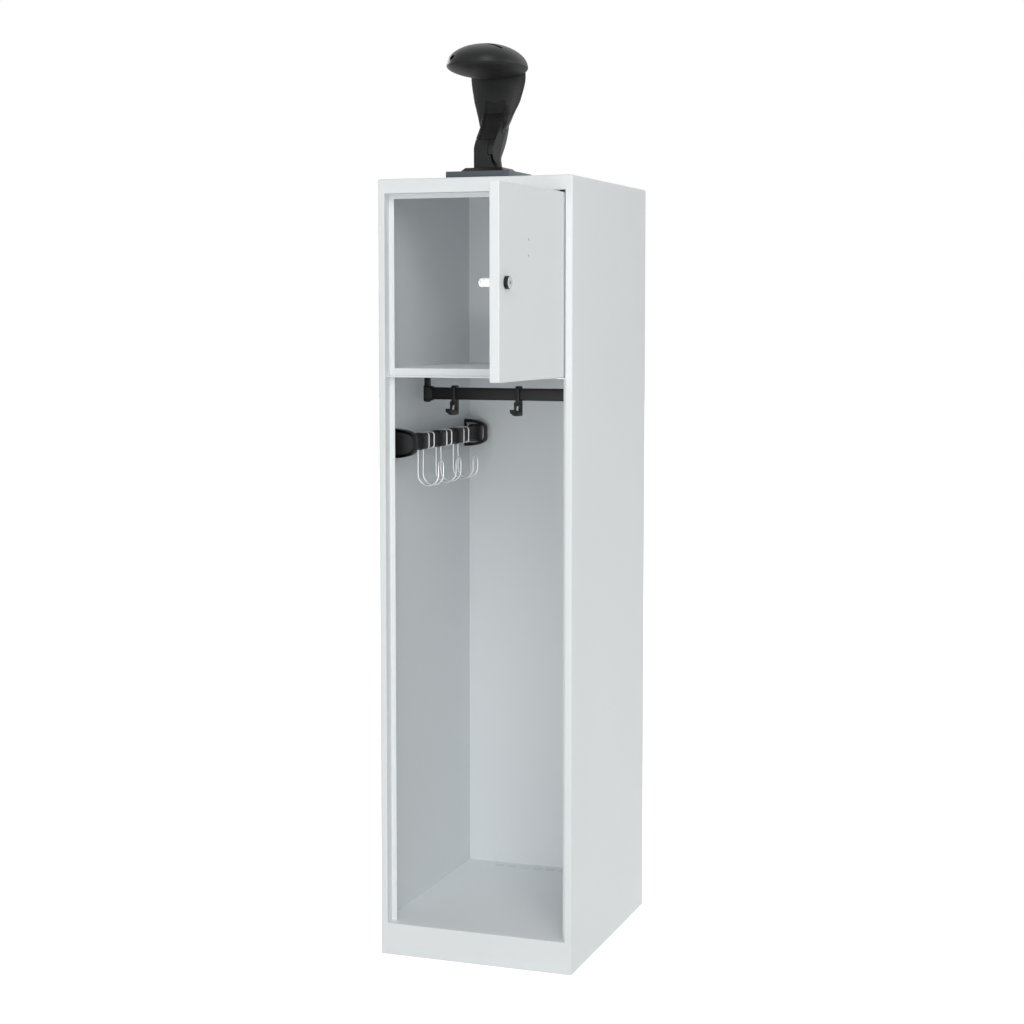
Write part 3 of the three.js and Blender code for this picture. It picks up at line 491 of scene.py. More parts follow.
BEND_STEPS = 6


def frame_ring(side, top, foot, depth, high_radius, low_radius=0, limits=None):
    """One line round a rectangular frame, from the left foot over the top to the right foot."""
    x0, x1, z0, z1 = limits or (-HALF, HALF, 0, HEIGHT)
    left, right, low, high = x0 + side, x1 - side, z0 + foot, z1 - top
    corners = [
        arc((left + low_radius, low + low_radius), low_radius, 270, 180, BEND_STEPS),
        arc((left + high_radius, high - high_radius), high_radius, 180, 90, BEND_STEPS),
        arc((right - high_radius, high - high_radius), high_radius, 90, 0, BEND_STEPS),
        arc((right - low_radius, low + low_radius), low_radius, 0, -90, BEND_STEPS),
    ]
    return [(x, depth, z) for corner in corners for x, z in corner]


def sheet_skin(rings, open_rows):
    """A sheet through rings, left open at the foot in the rows named, and given its thickness."""
    count = len(rings[0])
    vertices = [point for ring in rings for point in ring]
    faces = []
    for r in range(len(rings) - 1):
        for i in range(count if r not in open_rows else count - 1):
            j = (i + 1) % count
            low, high = r * count, (r + 1) * count
            faces.append((low + i, low + j, high + j, high + i))
    return modify(
        raw_mesh("sheet", vertices, faces, closed=False),
        "SOLIDIFY",
        thickness=SHEET * MILLI,
        offset=-1,
        use_even_offset=True,
        use_rim=True,
    )


def quarter(radius):
    """Pairs (gone round the bend, left of it) of a quarter bend, from 0 to the radius."""
    turns = [math.pi / 2 * i / BEND_STEPS for i in range(BEND_STEPS + 1)]
    return [(radius * (1 - math.cos(t)), radius * (1 - math.sin(t))) for t in turns]


def cabinet_shell():
    stile = HALF - OPENING
    fascia = HEIGHT - OPENING_TOP
    rings = [frame_ring(stile + STOP, fascia + TOP_STOP, PLINTH, REBATE, 0)]
    for along, left in quarter(STOP_FOLD):
        rings.append(frame_ring(stile + left, fascia + left, PLINTH, REBATE - along, 0))
    open_rows = list(range(len(rings) - 1))
    for along, left in quarter(FOLD):
        rings.append(frame_ring(stile - along, fascia - along, PLINTH - along, left, 0))
    for along, left in quarter(CORNER):
        depth = along
        foot = FOLD - math.sqrt(FOLD**2 - (FOLD - depth) ** 2) if depth < FOLD else 0
        rings.append(frame_ring(left, left, foot, depth, CORNER - left))
    rings.append(frame_ring(0, 0, 0, FOOT_FLANGE, CORNER))
    flange_row = len(rings) - 1
    for along, left in quarter(FOLD):
        rings.append(frame_ring(along, along, 0, DEPTH - left, CORNER - along))
    rings.append(frame_ring(REAR_FLANGE, REAR_FLANGE, 0, DEPTH, 0))
    open_rows += range(flange_row, len(rings) - 1)
    return sheet_skin(rings, open_rows)


fit(
    cabinet_shell(),
    "cabinet_shell",
    PAINT,
    "cabinet",
    ["left_side_panel", "right_side_panel", "top_panel"],
)


VENT_ROWS = 2
VENTS_PER_ROW = 9
VENT_PITCH = 36
EDGE_FLANGE = 20


def floor_plate():
    wide = HALF - SHEET - SEAT
    narrow = OPENING - SEAT
    front = REBATE - STOP_FOLD
    notch = REBATE + SHEET + SEAT
    rear = BACK - SEAT
    outline = [
        (-narrow, front),
        (narrow, front),
        (narrow, notch),
        (wide, notch),
        (wide, rear),
        (-wide, rear),
        (-wide, notch),
        (-narrow, notch),
    ]
    slots = []
    for row in range(VENT_ROWS):
        for i in range(VENTS_PER_ROW):
            along = (i - (VENTS_PER_ROW - 1) / 2) * VENT_PITCH
            slots.append(rounded(block(12, 2, 1.99, along, BACK - 24 - 12 * row)))
    sheet = plate(outline, slots, PLINTH - SHEET, PLINTH)
    low, high = PLINTH - EDGE_FLANGE, PLINTH - SHEET
    flanges = [box((-wide, wide), (rear - SHEET, rear), (low, high))]
    for side in (-1, 1):
        edge = sorted((side * wide, side * (wide - SHEET)))
        flanges.append(box(edge, (notch + SEAT, rear - SHEET), (low, high)))
    return joined([sheet, *flanges])


fit(floor_plate(), "floor_plate", PAINT, "cabinet", ["floor_panel"])


def shelf_plate():
    """The shelf, the band below its front edge and the ledge that the door closes over."""
    front = REBATE - 15
    ledge_back = REBATE - STOP_FOLD - SEAT
    behind = REBATE + SHEET + SEAT
    rear = BACK - SEAT
    ledge = folded([(ledge_back, LEDGE), (front, LEDGE, 1.5), (front, LEDGE - 3.5)], SHEET)
    band = folded(
        [(behind, SHELF), (REBATE, SHELF, 1.29), (REBATE, LEDGE, 1.5), (ledge_back, LEDGE)], SHEET
    )
    top = folded([(rear, SHELF - EDGE_FLANGE), (rear, SHELF, FOLD), (behind, SHELF)], SHEET)
    wide = HALF - SHEET - SEAT
    parts = [
        prism("x", ledge, -OPENING + SEAT, OPENING - SEAT),
        prism("x", band, -OPENING + STOP + SEAT, OPENING - STOP - SEAT),
        prism("x", top, -wide, wide),
    ]
    for side in (-1, 1):
        edge = sorted((side * wide, side * (wide - SHEET)))
        parts.append(box(edge, (behind, rear - SHEET), (SHELF - EDGE_FLANGE, SHELF - SHEET)))
    return joined(parts)


fit(shelf_plate(), "shelf_plate", PAINT, "cabinet", ["shelf"])


# Door


def door_skin():
    """The folded pan: its face with the card and lock holes, and its rim with the return."""
    bend = 2
    limits = (DOOR_FREE, DOOR_EDGE, DOOR_FOOT, DOOR_TOP)
    depth = DOOR_INSIDE - DOOR_FACE
    rings = []
    for along, left in quarter(bend):
        radius = bend - left
        rings.append(frame_ring(left, left, left, DOOR_FACE + along, radius, radius, limits))
    for along, left in quarter(bend):
        radius = bend - along
        rings.append(
            frame_ring(along, along, along, DOOR_FACE + depth - left, radius, radius, limits)
        )
    rings.append(frame_ring(12, 12, 12, DOOR_INSIDE, 0, 0, limits))
    rim = sheet_skin(rings, [])
    outline = [
        (DOOR_FREE + bend, DOOR_FOOT + bend),
        (DOOR_EDGE - bend, DOOR_FOOT + bend),
        (DOOR_EDGE - bend, DOOR_TOP - bend),
        (DOOR_FREE + bend, DOOR_TOP - bend),
    ]
    holes = [circle(*LOCK, LOCK_RADIUS + SEAT)]
    holes += [circle(*place, CARD_HOLE_RADIUS, 16) for place in CARD_HOLES]
    face = plate(outline, holes, DOOR_FACE, DOOR_FACE + SHEET, "y")
    return opened(joined([rim, face]))


door = fit(door_skin(), "door_skin", PAINT, "door", ["door_panel"])
# The walls of the two card holes take the matt black as painted shade, so the holes show dark.
door.data.materials.append(MATT_BLACK)
for face in door.data.polygons:
    for along, level in CARD_HOLES:
        hole = Vector((HINGE[0] - DOOR_FACE, HINGE[1] + FRONT + along, level)) * MILLI
        if (face.center - hole).length < (CARD_HOLE_RADIUS + 0.6) * MILLI:
            face.material_index = 1


# Cam lock


def lock_at(along):
    """A place on the lock's axis, in the door's closed frame."""
    return (LOCK[0], along, LOCK[1])


def lock_collar():
    """The black ring round the lock's face."""
    seat = DOOR_FACE - SEAT
    front = seat - 9.2
    bore, flat, rim = 11.3, 13, 0.8
    profile = [(bore, seat), (bore, front), (flat, front)]
    profile += arc((flat, front + rim), rim, -90, 0, 4)[1:]
    profile += [(13.9, seat - 0.6), (13.7, seat), (bore, seat)]
    return opened(turned("y", profile, lock_at(0)))


KEYHOLE = 4.1
PLUG_BORE = 6.2
PLUG_DEPTH = 3.6


def lock_barrel():
    """The lock's housing: a broad bright face, and a barrel with two flats through the door."""
    front, back = LOCK_FRONT, LOCK_BACK
    inside = DOOR_INSIDE - SHEET
    flat, rim, pitch = 12.8, 0.4, 1.5
    thread = LOCK_RADIUS - 0.5
    face = [(KEYHOLE, front + 0.5), (KEYHOLE + 0.5, front), (flat, front)]
    face += arc((flat, front + rim), rim, -90, 0, 3)[1:]
    face += [(flat + rim, front + 0.7), (LOCK_RADIUS, front + 0.7)]
    place = DOOR_FACE + 2
    face.append((LOCK_RADIUS, place))
    while place < inside:
        face += [(LOCK_RADIUS, place), (thread, place + 0.5)]
        face += [(thread, place + 0.7), (LOCK_RADIUS, place + 1.2)]
        place += pitch
    groove = back - 6.5
    face += [(LOCK_RADIUS, groove - 0.5), (8.9, groove - 0.4)]
    face += [(8.9, groove + 0.4), (LOCK_RADIUS, groove + 0.5)]
    face += [(LOCK_RADIUS, back - 0.5), (thread, back), (PLUG_BORE, back)]
    face += [(PLUG_BORE, front + PLUG_DEPTH), (KEYHOLE, front + PLUG_DEPTH)]
    face.append((KEYHOLE, front + 0.5))
    barrel = turned("y", face, lock_at(0))
    x, z = LOCK
    flats = [
        box(sorted((x + side * 7.6, x + side * 20)), (DOOR_FACE + 1.5, back + 1), (z - 12, z + 12))
        for side in (-1, 1)
    ]
    return opened(combine(barrel, flats, "DIFFERENCE"))


def lock_plug():
    """The plug that the key turns, with its slot."""
    front = LOCK_FRONT + 0.5
    shoulder = front + 3.3
    nose, body = KEYHOLE - 0.2, PLUG_BORE - SEAT
    profile = [(0, front), (nose - 0.4, front), (nose, front + 0.4), (nose, shoulder)]
    profile += [(body, shoulder), (body, LOCK_BACK), (0, LOCK_BACK)]
    plug = turned("y", profile, lock_at(0))
    x, z = LOCK
    slot = box((x - 1, x + 1), (front - 2, front + 9), (z - 3, z + 3))
    combine(plug, [slot], "DIFFERENCE")
    return opened(plug)


fit(lock_collar(), "lock_collar", BLACK, "door", ["lock_rosette"])
barrel = fit(lock_barrel(), "lock_barrel", NICKEL, "door", ["lock_housing"])
barrel.data.materials.append(SATIN)
for face in barrel.data.polygons:
    face.material_index = int(face.center.x > (HINGE[0] - DOOR_FACE + HINGE[1] - 6) * MILLI)
fit(lock_plug(), "key_plug", BLACK, "lock_cylinder", ["lock_plug"])


# Clothes rail

STRAP_INNER = 206.5
STRAP_WIDTH = 14


def rail_oval(grow):
    """The rail's section, 30 by 15 mm, grown by a clearance or a wall."""
    return rounded(block(7.5 + grow, 15 + grow, 4.6 + grow, *RAIL))


def rail_tube():
    end = STRAP_INNER + 5
    return soften(prism("x", rail_oval(0), -end, end), 0.5, 2, 60)


def rail_socket(side, reach):
    """A hanging end socket: screw plate, strap and the collar that the rail sits in."""
    inner, outer = STRAP_INNER, STRAP_INNER + STRAP_WIDTH
    top = SHELF - SHEET - SEAT
    y, level = RAIL
    low = level - 21.5
    x = sorted((side * inner, side * outer))
    strap_outline = rounded([(y - 5, low, 3), (y + 5, low, 3), (y + 5, top - 3), (y - 5, top - 3)])
    pad_outline = rounded(block(10.5, 19.5, 5, y, level))
    strap = soften(prism("x", strap_outline, *x), 0.8, 2)
    pad = soften(prism("x", pad_outline, *x), 0.8, 2)
    collar = prism("x", rail_oval(2.6), *sorted((side * (inner - reach), side * (inner + 1))))
    soften(collar, 0.6, 2, 60)
    combine(strap, [pad, collar], "UNION")
    bore = prism("x", rail_oval(SEAT), *sorted((side * (inner - 12), side * (inner + 5.3))))
    combine(strap, [bore], "DIFFERENCE")
    middle = side * (inner + outer) / 2
    foot = prism("z", rounded(block(STRAP_WIDTH / 2, 28, 3, middle, y)), top - 3, top)
    for end in (-20, 20):
        bore_profile = [(0, top - 6), (2.1, top - 6), (2.1, top + 3), (0, top + 3)]
        hole = turned("z", bore_profile, (middle, y + end, 0), 20)
        combine(foot, [hole], "DIFFERENCE")
    return joined([strap, foot])


fit(rail_tube(), "rail_tube", BLACK, "cabinet", ["clothes_rail"])
fit(rail_socket(-1, reach=8), "left_rail_socket", BLACK, "cabinet", ["left_rail_bracket"])
fit(rail_socket(1, reach=3), "right_rail_socket", BLACK, "cabinet", ["right_rail_bracket"])


def coat_hook(x):
    """A sliding hook: a collar round the rail, and a hollow stem with an eye and a beak."""
    y, level = RAIL
    back, front = y + 13, y - 13
    foot = level - 52
    waist = level - 19
    tip = y - 38
    crown = level + 20.2
    ring = [(back, waist - 3, 2), (back, crown, 6), (front, crown, 6), (front, waist - 3, 2)]
    collar = prism("x", rounded(ring), x - 4.9, x + 4.9)
    combine(collar, [prism("x", rail_oval(0.5), x - 9, x + 9)], "DIFFERENCE")
    outline = [
        (back, foot, 3),
        (back, waist, 2),
        (front + 5, waist, 2),
        (front + 5, foot + 9, 3),
        (tip + 8, foot + 15, 2.5),
        (tip, foot + 17.5, 2.5),
        (tip + 2, foot + 8, 6),
        (tip + 14, foot, 10),
    ]
    low, high = x - 10.3, x + 4.9
    stem = prism("x", rounded(outline), low, high)
    face = [(low, foot + 9, 4), (low + 6, foot - 1, 5), (high, foot - 1)]
    face += [(high, waist + 1), (low, waist + 1)]
    combine(stem, [prism("y", rounded(face), tip - 5, back + 5)], "INTERSECT")
    inner = y - 3
    pocket = [(inner, foot + 9, 2), (back + 20, foot + 9)]
    pocket += [(back + 20, waist - 1), (inner, waist - 1, 2)]
    eye = [(x - 7, foot + 10, 1), (x + 0.6, foot + 11, 1)]
    eye += [(x + 1.6, foot + 24, 1), (x - 4.5, foot + 23, 1)]
    tools = [prism("x", rounded(pocket), low - 9, x + 1.6), prism("y", rounded(eye), y - 10, y + 6)]
    combine(stem, tools, "DIFFERENCE")
    combine(collar, [stem], "UNION")
    return soften(collar, 0.6, 2, 40)


fit(coat_hook(-140.7), "coat_hook_1", BLACK, "front_hook", ["rail_hook_1"])
fit(coat_hook(26), "coat_hook_2", BLACK, "middle_hook", ["rail_hook_2"])


# Side bar with its brackets and wire hooks

WALL = -HALF + SHEET
STRIP_FACE = WALL + SEAT + 1.5
HOOK_PLACES = (213.5, 331, 449)
BRACKET_NOSE = [
    (0, 35.5),
    (17, 34.6),
    (32, 32.6),
    (44, 29.6),
    (53, 25),
    (58, 19.6),
    (59.9, 12),
    (59.9, 0),
]


def blended(points, per_step=6):
    """A smooth curve through points in a plane."""
    curve = []
    for i in range(len(points) - 1):
        before, start = Vector(points[max(i - 1, 0)]), Vector(points[i])
        end, after = Vector(points[i + 1]), Vector(points[min(i + 2, len(points) - 1)])
        for k in range(per_step):
            t = k / per_step
            slope = (end - before) * t + (2 * before - 5 * start + 4 * end - after) * t**2
            slope += (3 * start - before - 3 * end + after) * t**3
            curve.append(tuple(start + slope / 2))
    return curve + [tuple(points[-1])]


def bracket_path(reach=1, height=1):
    """The bracket's outline from the wall over its nose and back, in x and z."""
    upper = [(x * reach, z * height) for x, z in BRACKET_NOSE]
    path = blended(upper + [(x, -z) for x, z in upper[-2::-1]])
    return [(STRIP_FACE + SEAT + x, BAR[1] + z) for x, z in path]


def bar_bracket(start, depth, capped):
    """A rounded bracket that holds one end of the bar off the wall, with or without a front."""
    x0 = STRIP_FACE + SEAT
    level = BAR[1]
    end = start + depth
    section = bracket_path() + bracket_path(0.925, 0.77)[::-1]
    strap = soften(prism("y", section, start, end), 1, 2, 40)
    plate_body = box((x0, x0 + 2), (start + 1, end - 1), (level - 31, level + 31))
    tongue = box((x0, BAR[0] - BAR_END[0] - SEAT), (start + 4, end - 1), (level - 12, level + 12))
    parts = [strap, plate_body, tongue]
    if capped:
        parts.append(soften(prism("y", bracket_path(), start, start + 4), 1.8, 4, 40))
    return joined(parts)


front_socket = bar_bracket(66, depth=22, capped=True)
rear_socket = bar_bracket(548, depth=17, capped=False)
fit(front_socket, "front_bar_socket", BLACK, "cabinet", ["front_bar_bracket"])
fit(rear_socket, "rear_bar_socket", BLACK, "cabinet", ["rear_bar_bracket"])


def moulded_bar():
    """The bar: thick blocks with slim necks between them, where the wire hooks hang."""
    neck_x, neck_z = BAR_NECK
    rings = []

    def ring(y, half_x, half_z):
        corners = block(half_x, half_z, 5, *BAR)
        rings.append([(x, y, z) for x, z in rounded(corners)])

    def stretch(half_x, half_z, start, end, lead=1.5):
        ring(start, half_x - lead, half_z - lead)
        ring(start + lead * 0.4, half_x - lead * 0.35, half_z - lead * 0.35)
        ring(start + lead, half_x, half_z)
        ring(end - lead, half_x, half_z)
        ring(end - lead * 0.4, half_x - lead * 0.35, half_z - lead * 0.35)
        ring(end, half_x - lead, half_z - lead)

    stretch(*BAR_END, 70.3, 88)
    ring(92, 13.5, 18.4)
    ring(97, neck_x, neck_z)
    for place in HOOK_PLACES:
        block_end = place - 19.5
        block_start = max(block_end - 42, 104)
        ring(block_start - 2, neck_x, neck_z)
        stretch(*BAR_BLOCK, block_start, block_end, 2)
        ring(block_end + 0.5, neck_x, neck_z)
    ring(512, neck_x, neck_z)
    ring(520, 13, 18.2)
    ring(534, 14, 20.8)
    ring(544, 14.8, 22.5)
    ring(564, 14.8, 22.5)
    ring(565.4, 14.3, 22)
    ring(566, 13.2, 20.8)
    return skin(rings)


fit(moulded_bar(), "moulded_bar", BLACK, "cabinet", ["hook_bar"])


def wire_hook(place):
    """One wire: round the bar, down the wall side, through the bow, up to the tip and back."""
    radius = 1.75
    pair = 16.5
    corner = 7.7
    turn = 27
    foot = -112.5
    loop_x = BAR_NECK[0] + SEAT + radius
    loop_z = BAR_NECK[1] + SEAT + radius
    bow = radius + turn + foot
    tip = 66 + foot - radius - pair
    loop = rounded(
        [
            (-4, -loop_z),
            (loop_x, -loop_z, corner),
            (loop_x, loop_z, corner),
            (-loop_x, loop_z, corner),
            (-loop_x, bow),
        ],
        closed=False,
        steps=8,
    )
    loop += arc((-loop_x + turn, bow), turn, 180, 360, 24)[1:]
    end_x = -loop_x + 2 * turn
    loop += [(end_x, bow + (tip - bow) * share) for share in (0.33, 0.67, 1)]
    near = [(x, -pair, z) for x, z in loop]
    far = [(x, pair, z) for x, z in loop][::-1]
    bend = [(end_x, y, z) for y, z in arc((0, tip), pair, 180, 0, 16)[1:-1]]
    points = near + bend + far
    moved = [(BAR[0] + x, place + y, BAR[1] + z) for x, y, z in points]
    return tube(moved, radius)


for number, place in enumerate(HOOK_PLACES, 1):
    fit(wire_hook(place), f"wire_double_hook_{number}", WIRE, "cabinet", [f"wire_hook_{number}"])


# Helmet holder


def held(thing):
    """Moves a piece drawn round the holder's own middle to its place on the roof."""
    x, y, z = HOLDER
    thing.data.transform(Matrix.Translation(Vector((x, y, z)) * MILLI))
    return thing


def roof_plate():
    section = rounded(block(78.5, 78.5, 2))
    body = prism("z", section, SEAT, 15.3)
    return held(soften(body, 0.8, 3, 50))


def holder_foot():
    rings = []
    for level, shrink in ((15.6, 0), (18.2, 0), (19, 0.8), (24.6, 6.4), (25.6, 7.4)):
        corners = block(53 - shrink, 48 - shrink, 4)
        rings.append([(x, y, level) for x, y in rounded(corners)])
    return held(skin(rings))


# Level, front, rear and half width of the stem
STEM = [
    (19.6, -26, 21, 29),
    (30, -26, 17, 29),
    (40, -26, 12, 29),
    (49, -26, 11, 29),
    (60, -26, 20, 29),
    (74, -25, 33, 29),
    (90, -15, 45, 29),
    (103, -4, 53, 29),
    (115, 8, 59, 29),
    (127, 18, 64, 29),
    (146, 29, 66, 29),
    (165, 42, 68, 29),
]
FRONT_FACE = 20
# Level, front, edge, rear, half width and boldness of the funnel
FUNNEL = [
    (101, 24, 25, 27, 25, 8),
    (104, 22, 24, 30, 27.6, 8),
    (117, 25, 27, 38, 29.8, 8),
    (127, 29, 31.5, 61, 34.8, 8),
    (137, 33, 36, 67, 38.5, 8),
    (146, 35, 40, 71, 41.8, 8),
    (158, 38, 46, 75, 47, 5),
    (172, 41, 52, 79, 52.4, 3.6),
    (185, 42, 56, 82, 57.4, 3),
    (205, 43, 60, 84, 62.2, 2.6),
    (224, 44, 63, 86, 66.4, 2.4),
    (240, 44, 64, 87, 68.5, 2.2),
    (256, 44, 63, 87, 68.5, 2.2),
]


def smooth_sections(sections, per_step=5):
    """Sections blended along a smooth curve through the ones given."""
    rows = []
    for i in range(len(sections) - 1):
        before = sections[max(i - 1, 0)]
        start, end = sections[i], sections[i + 1]
        after = sections[min(i + 2, len(sections) - 1)]
        for k in range(per_step):
            t = k / per_step
            row = []
            for a, b, c, d in zip(before, start, end, after):
                slope = (c - a) * t + (2 * a - 5 * b + 4 * c - d) * t**2
                slope += (3 * b - a - 3 * c + d) * t**3
                row.append(b + slope / 2)
            row[0] = start[0] + (end[0] - start[0]) * t
            rows.append(tuple(row))
    rows.append(sections[-1])
    return rows


def stem_skin(grow=0):
    """The stem, whose right side leans back from the front face's edge."""
    rings = []
    for level, front, rear, half_x in smooth_sections(STEM):
        wide = half_x + grow
        low, high = front - grow, rear + grow
        corners = [
            (-wide, low, 2),
            (FRONT_FACE, low, 2),
            (wide, low + (high - low) * 0.55, 4),
            (wide, high - 5, 3),
            (wide - 5, high, 3),
            (5 - wide, high, 3),
            (-wide, high - 5, 3),
        ]
        rings.append([(x, y, level) for x, y in rounded(corners, steps=4)])
    return skin(rings)


def funnel_skin(grow=0):
    """A broad shell with a sharp edge on each side, its front and rear gently curved."""
    rings = []
    steps = 36
    for level, front, edge, rear, half_x, bold in smooth_sections(FUNNEL):
        wide = half_x + grow
        ring = []
        for face, first in ((front - grow, -1), (rear + grow, 1)):
            for i in range(steps):
                u = first * math.cos(math.pi * i / steps)
                ring.append((wide * u, edge + (face - edge) * (1 - abs(u) ** bold), level))
        rings.append(ring)
    return skin(rings)


def neck_skin(grow=0):
    return combine(stem_skin(grow), [funnel_skin(grow)], "UNION")


# Outlines on the neck's front, in x and level
INSET = [(-19.5, 93.6), (19.5, 93.6), (20.5, 130), (24, 188), (0, 180), (-24, 188), (-20.5, 130)]
COVER = [(-40, 25.9), (25, 25.9), (21, 36), (17.5, 46), (14.8, 55), (6, 56), (6, 92.4), (-40, 92.4)]
FOOT_SLOT = [
    (12.5, 57),
    (17.5, 57),
    (20.5, 46),
    (25, 36),
    (30.5, 26.5),
    (22, 26.5),
    (17.5, 36),
    (14.5, 46),
]
# Level and depth of the line down the neck's front
NECK_FRONT = [(0, -26), (74, -25), (90, -15), (103, -4), (127, 18), (148, 31), (165, 42), (280, 42)]


def grown(outline, distance):
    """An outline whose corners move away from its middle, sideways and up or down."""
    middle_x = sum(x for x, _ in outline) / len(outline)
    middle_z = sum(z for _, z in outline) / len(outline)
    moved = []
    for x, z in outline:
        across = math.copysign(distance, x - middle_x)
        moved.append((x + across, z + math.copysign(distance, z - middle_z)))
    return moved


def front_tool(outline, depth):
    """A cutter that reaches a little way into the neck's front, following its lean."""
    rings = []
    for level, front in NECK_FRONT:
        y = front + depth
        rings.append([(-90, -120, level), (90, -120, level), (90, y, level), (-90, y, level)])
    half = skin(rings)
    cutter = prism("y", outline, -130, 130)
    return combine(cutter, [half], "INTERSECT")


def neck_piece():
    body = neck_skin()
    combine(body, [front_tool(grown(INSET, 0.9), 5)], "DIFFERENCE")
    combine(body, [front_tool(grown(COVER, 1.3), 12)], "DIFFERENCE")
    combine(body, [front_tool(FOOT_SLOT, 14)], "DIFFERENCE")
    return held(body)


def inset_piece():
    body = neck_skin(-0.8)
    return held(combine(body, [front_tool(INSET, 4.6)], "INTERSECT"))


def cover_piece():
    body = neck_skin(-0.1)
    combine(body, [front_tool(COVER, 11.6)], "INTERSECT")
    return held(combine(body, [front_tool(FOOT_SLOT, 14)], "DIFFERENCE"))


HEAD_MIDDLE = -10
HEAD_RIM = 260
HEAD_HALF_X = 89.6
HEAD_HALF_Y = 110.5
HEAD_FULLNESS = 2.3
HEAD_DOME = 53
HEAD_DISH = 25
HEAD_SEAM = 0.3
HEAD_SIDES = 96


def head_shape(profile):
    """The head's plan, fuller than an oval, at each share of its size and each rise."""
    rings = []
    for share, rise in profile:
        ring = []
        for u, v in circle(0, 0, 1, HEAD_SIDES):
            x = math.copysign(abs(u) ** (2 / HEAD_FULLNESS), u) * HEAD_HALF_X * share
            y = math.copysign(abs(v) ** (2 / HEAD_FULLNESS), v) * HEAD_HALF_Y * share
            ring.append((x, HEAD_MIDDLE + y, HEAD_RIM + rise))
        rings.append(ring)
    return skin(rings)


def dome_slot(x, y, turn, half_long, half_wide):
    """A slot that reaches only a little way into the dome."""
    turn = math.radians(turn)
    outline = []
    for u, v in rounded(block(half_long, half_wide, half_wide - 0.1)):
        across = u * math.cos(turn) - v * math.sin(turn)
        along = u * math.sin(turn) + v * math.cos(turn)
        outline.append((x + across, HEAD_MIDDLE + y + along))
    slot = prism("z", outline, HEAD_RIM + 1, HEAD_RIM + 90)
    core = [(0.9, 0)] + [(u * 0.93, v * (HEAD_DOME - 6)) for u, v in arc((0, 0), 1, 1, 89, 28)]
    return combine(slot, [head_shape(core)], "DIFFERENCE")


def head_cap():
    """The domed upper shell with its two slots and the vent at its front."""
    profile = [(0.93, HEAD_SEAM), (1, HEAD_SEAM)]
    profile += [(u, HEAD_SEAM + v * HEAD_DOME) for u, v in arc((0, 0), 1, 2, 89, 36)]
    cap = head_shape(profile)
    vent = turned("y", [(0, -12), (6.2, -12), (6.2, 12), (0, 12)], (0, 0, 0), 24)
    vent.data.transform(Matrix.Translation((0, -FRONT * MILLI, 0)))
    vent.data.transform(Matrix.Diagonal((1.4, 1, 1, 1)))
    vent.data.transform(Matrix.Rotation(math.radians(-42), 4, "Z"))
    vent_place = Vector((-53, HEAD_MIDDLE - 87 + FRONT, HEAD_RIM + 14))
    vent.data.transform(Matrix.Translation(vent_place * MILLI))
    slots = [dome_slot(35, -51, -12, 22, 6), dome_slot(-42, -53, 12, 19, 5), vent]
    return held(combine(cap, slots, "DIFFERENCE"))


def head_tray():
    """The dished lower shell."""
    profile = [(0.93, 0), (1, 0)]
    profile += [(u, -v * HEAD_DISH) for u, v in arc((0, 0), 1, 2, 86, 24)]
    return held(head_shape(profile))


fit(roof_plate(), "roof_plate", SLATE, "cabinet", ["holder_plate"])
fit(holder_foot(), "bevelled_foot", BLACK, "cabinet", ["holder_foot"])
fit(neck_piece(), "neck_shell", BLACK, "cabinet", ["holder_neck"])
fit(inset_piece(), "neck_front_inset", MATT_BLACK, "cabinet", ["holder_neck_inset"])
fit(cover_piece(), "neck_foot_cover", BLACK, "cabinet", ["holder_foot_cover"])
fit(head_cap(), "head_cap", BLACK, "cabinet", ["holder_head_cap"])
fit(head_tray(), "head_tray", MATT_BLACK, "cabinet", ["holder_head_tray"])


# Pieces that keep their CAD shape

KEPT = {
    "back_panel": PAINT,
    "door_stiffener": PAINT,
    "wall_mounting_strip": PAINT,
    "upper_pivot_bush": BLACK,
    "lower_pivot_bush": NYLON,
    "door_buffer_hinge_side": RUBBER,
    "door_buffer_free_side": RUBBER,
    "lock_nut": NICKEL,
    "lock_cam": NICKEL,
}
for name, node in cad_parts.items():
    if not node.hide_render:
        node.data.materials.clear()
        node.data.materials.append(KEPT.get(name, ZINC))


# Camera, floor and light

CAMERA_PLACE = (1.63527, -4.279, 1.53087)
CAMERA_YAW = 0.3467
CAMERA_PITCH = -0.07333
CAMERA_LENS = 69.3
CAMERA_SHIFT = -0.05
camera = bpy.data.objects.new("camera", bpy.data.cameras.new("camera"))
bpy.context.scene.collection.objects.link(camera)
camera.location = CAMERA_PLACE
camera.rotation_euler = (math.pi / 2 + CAMERA_PITCH, 0, CAMERA_YAW)
camera.data.lens = CAMERA_LENS
camera.data.sensor_width = 36
camera.data.shift_y = CAMERA_SHIFT
bpy.context.scene.camera = camera


def lamp(name, place, aim, size, power):
    """A soft rectangular lamp, in metres and watts."""
    light = bpy.data.lights.new(name, "AREA")
    light.shape = "RECTANGLE"
    light.size, light.size_y = size
    light.energy = power
    holder = bpy.data.objects.new(name, light)
    holder.location = place
    holder.rotation_euler = (Vector(aim) - Vector(place)).to_track_quat("-Z", "Y").to_euler()
    bpy.context.scene.collection.objects.link(holder)


lamp("low front", (0.7, -7.6, 1.3), (0, 0, 1.1), (4, 4), 76)
lamp("high front", (3.1, -7.6, 4.9), (0, 0, 1.1), (4, 4), 76)
lamp("front right", (5.8, -6.9, 4.2), (0, 0, 1.1), (4, 4), 106)
lamp("right side", (8.5, 2.4, 3.2), (0.2, 0.3, 1.1), (4, 4), 100)
lamp("overhead", (1.6, -3.6, 5.2), (0, 0, 1.1), (2.5, 2.5), 78)
lamp("low fill", (1.0, -5.2, 0.25), (0, 0, 1.3), (1.6, 0.4), 22)
lamp("rear left", (-6.5, 5.5, 3.2), (0, 0.3, 1.1), (4, 4), 240)


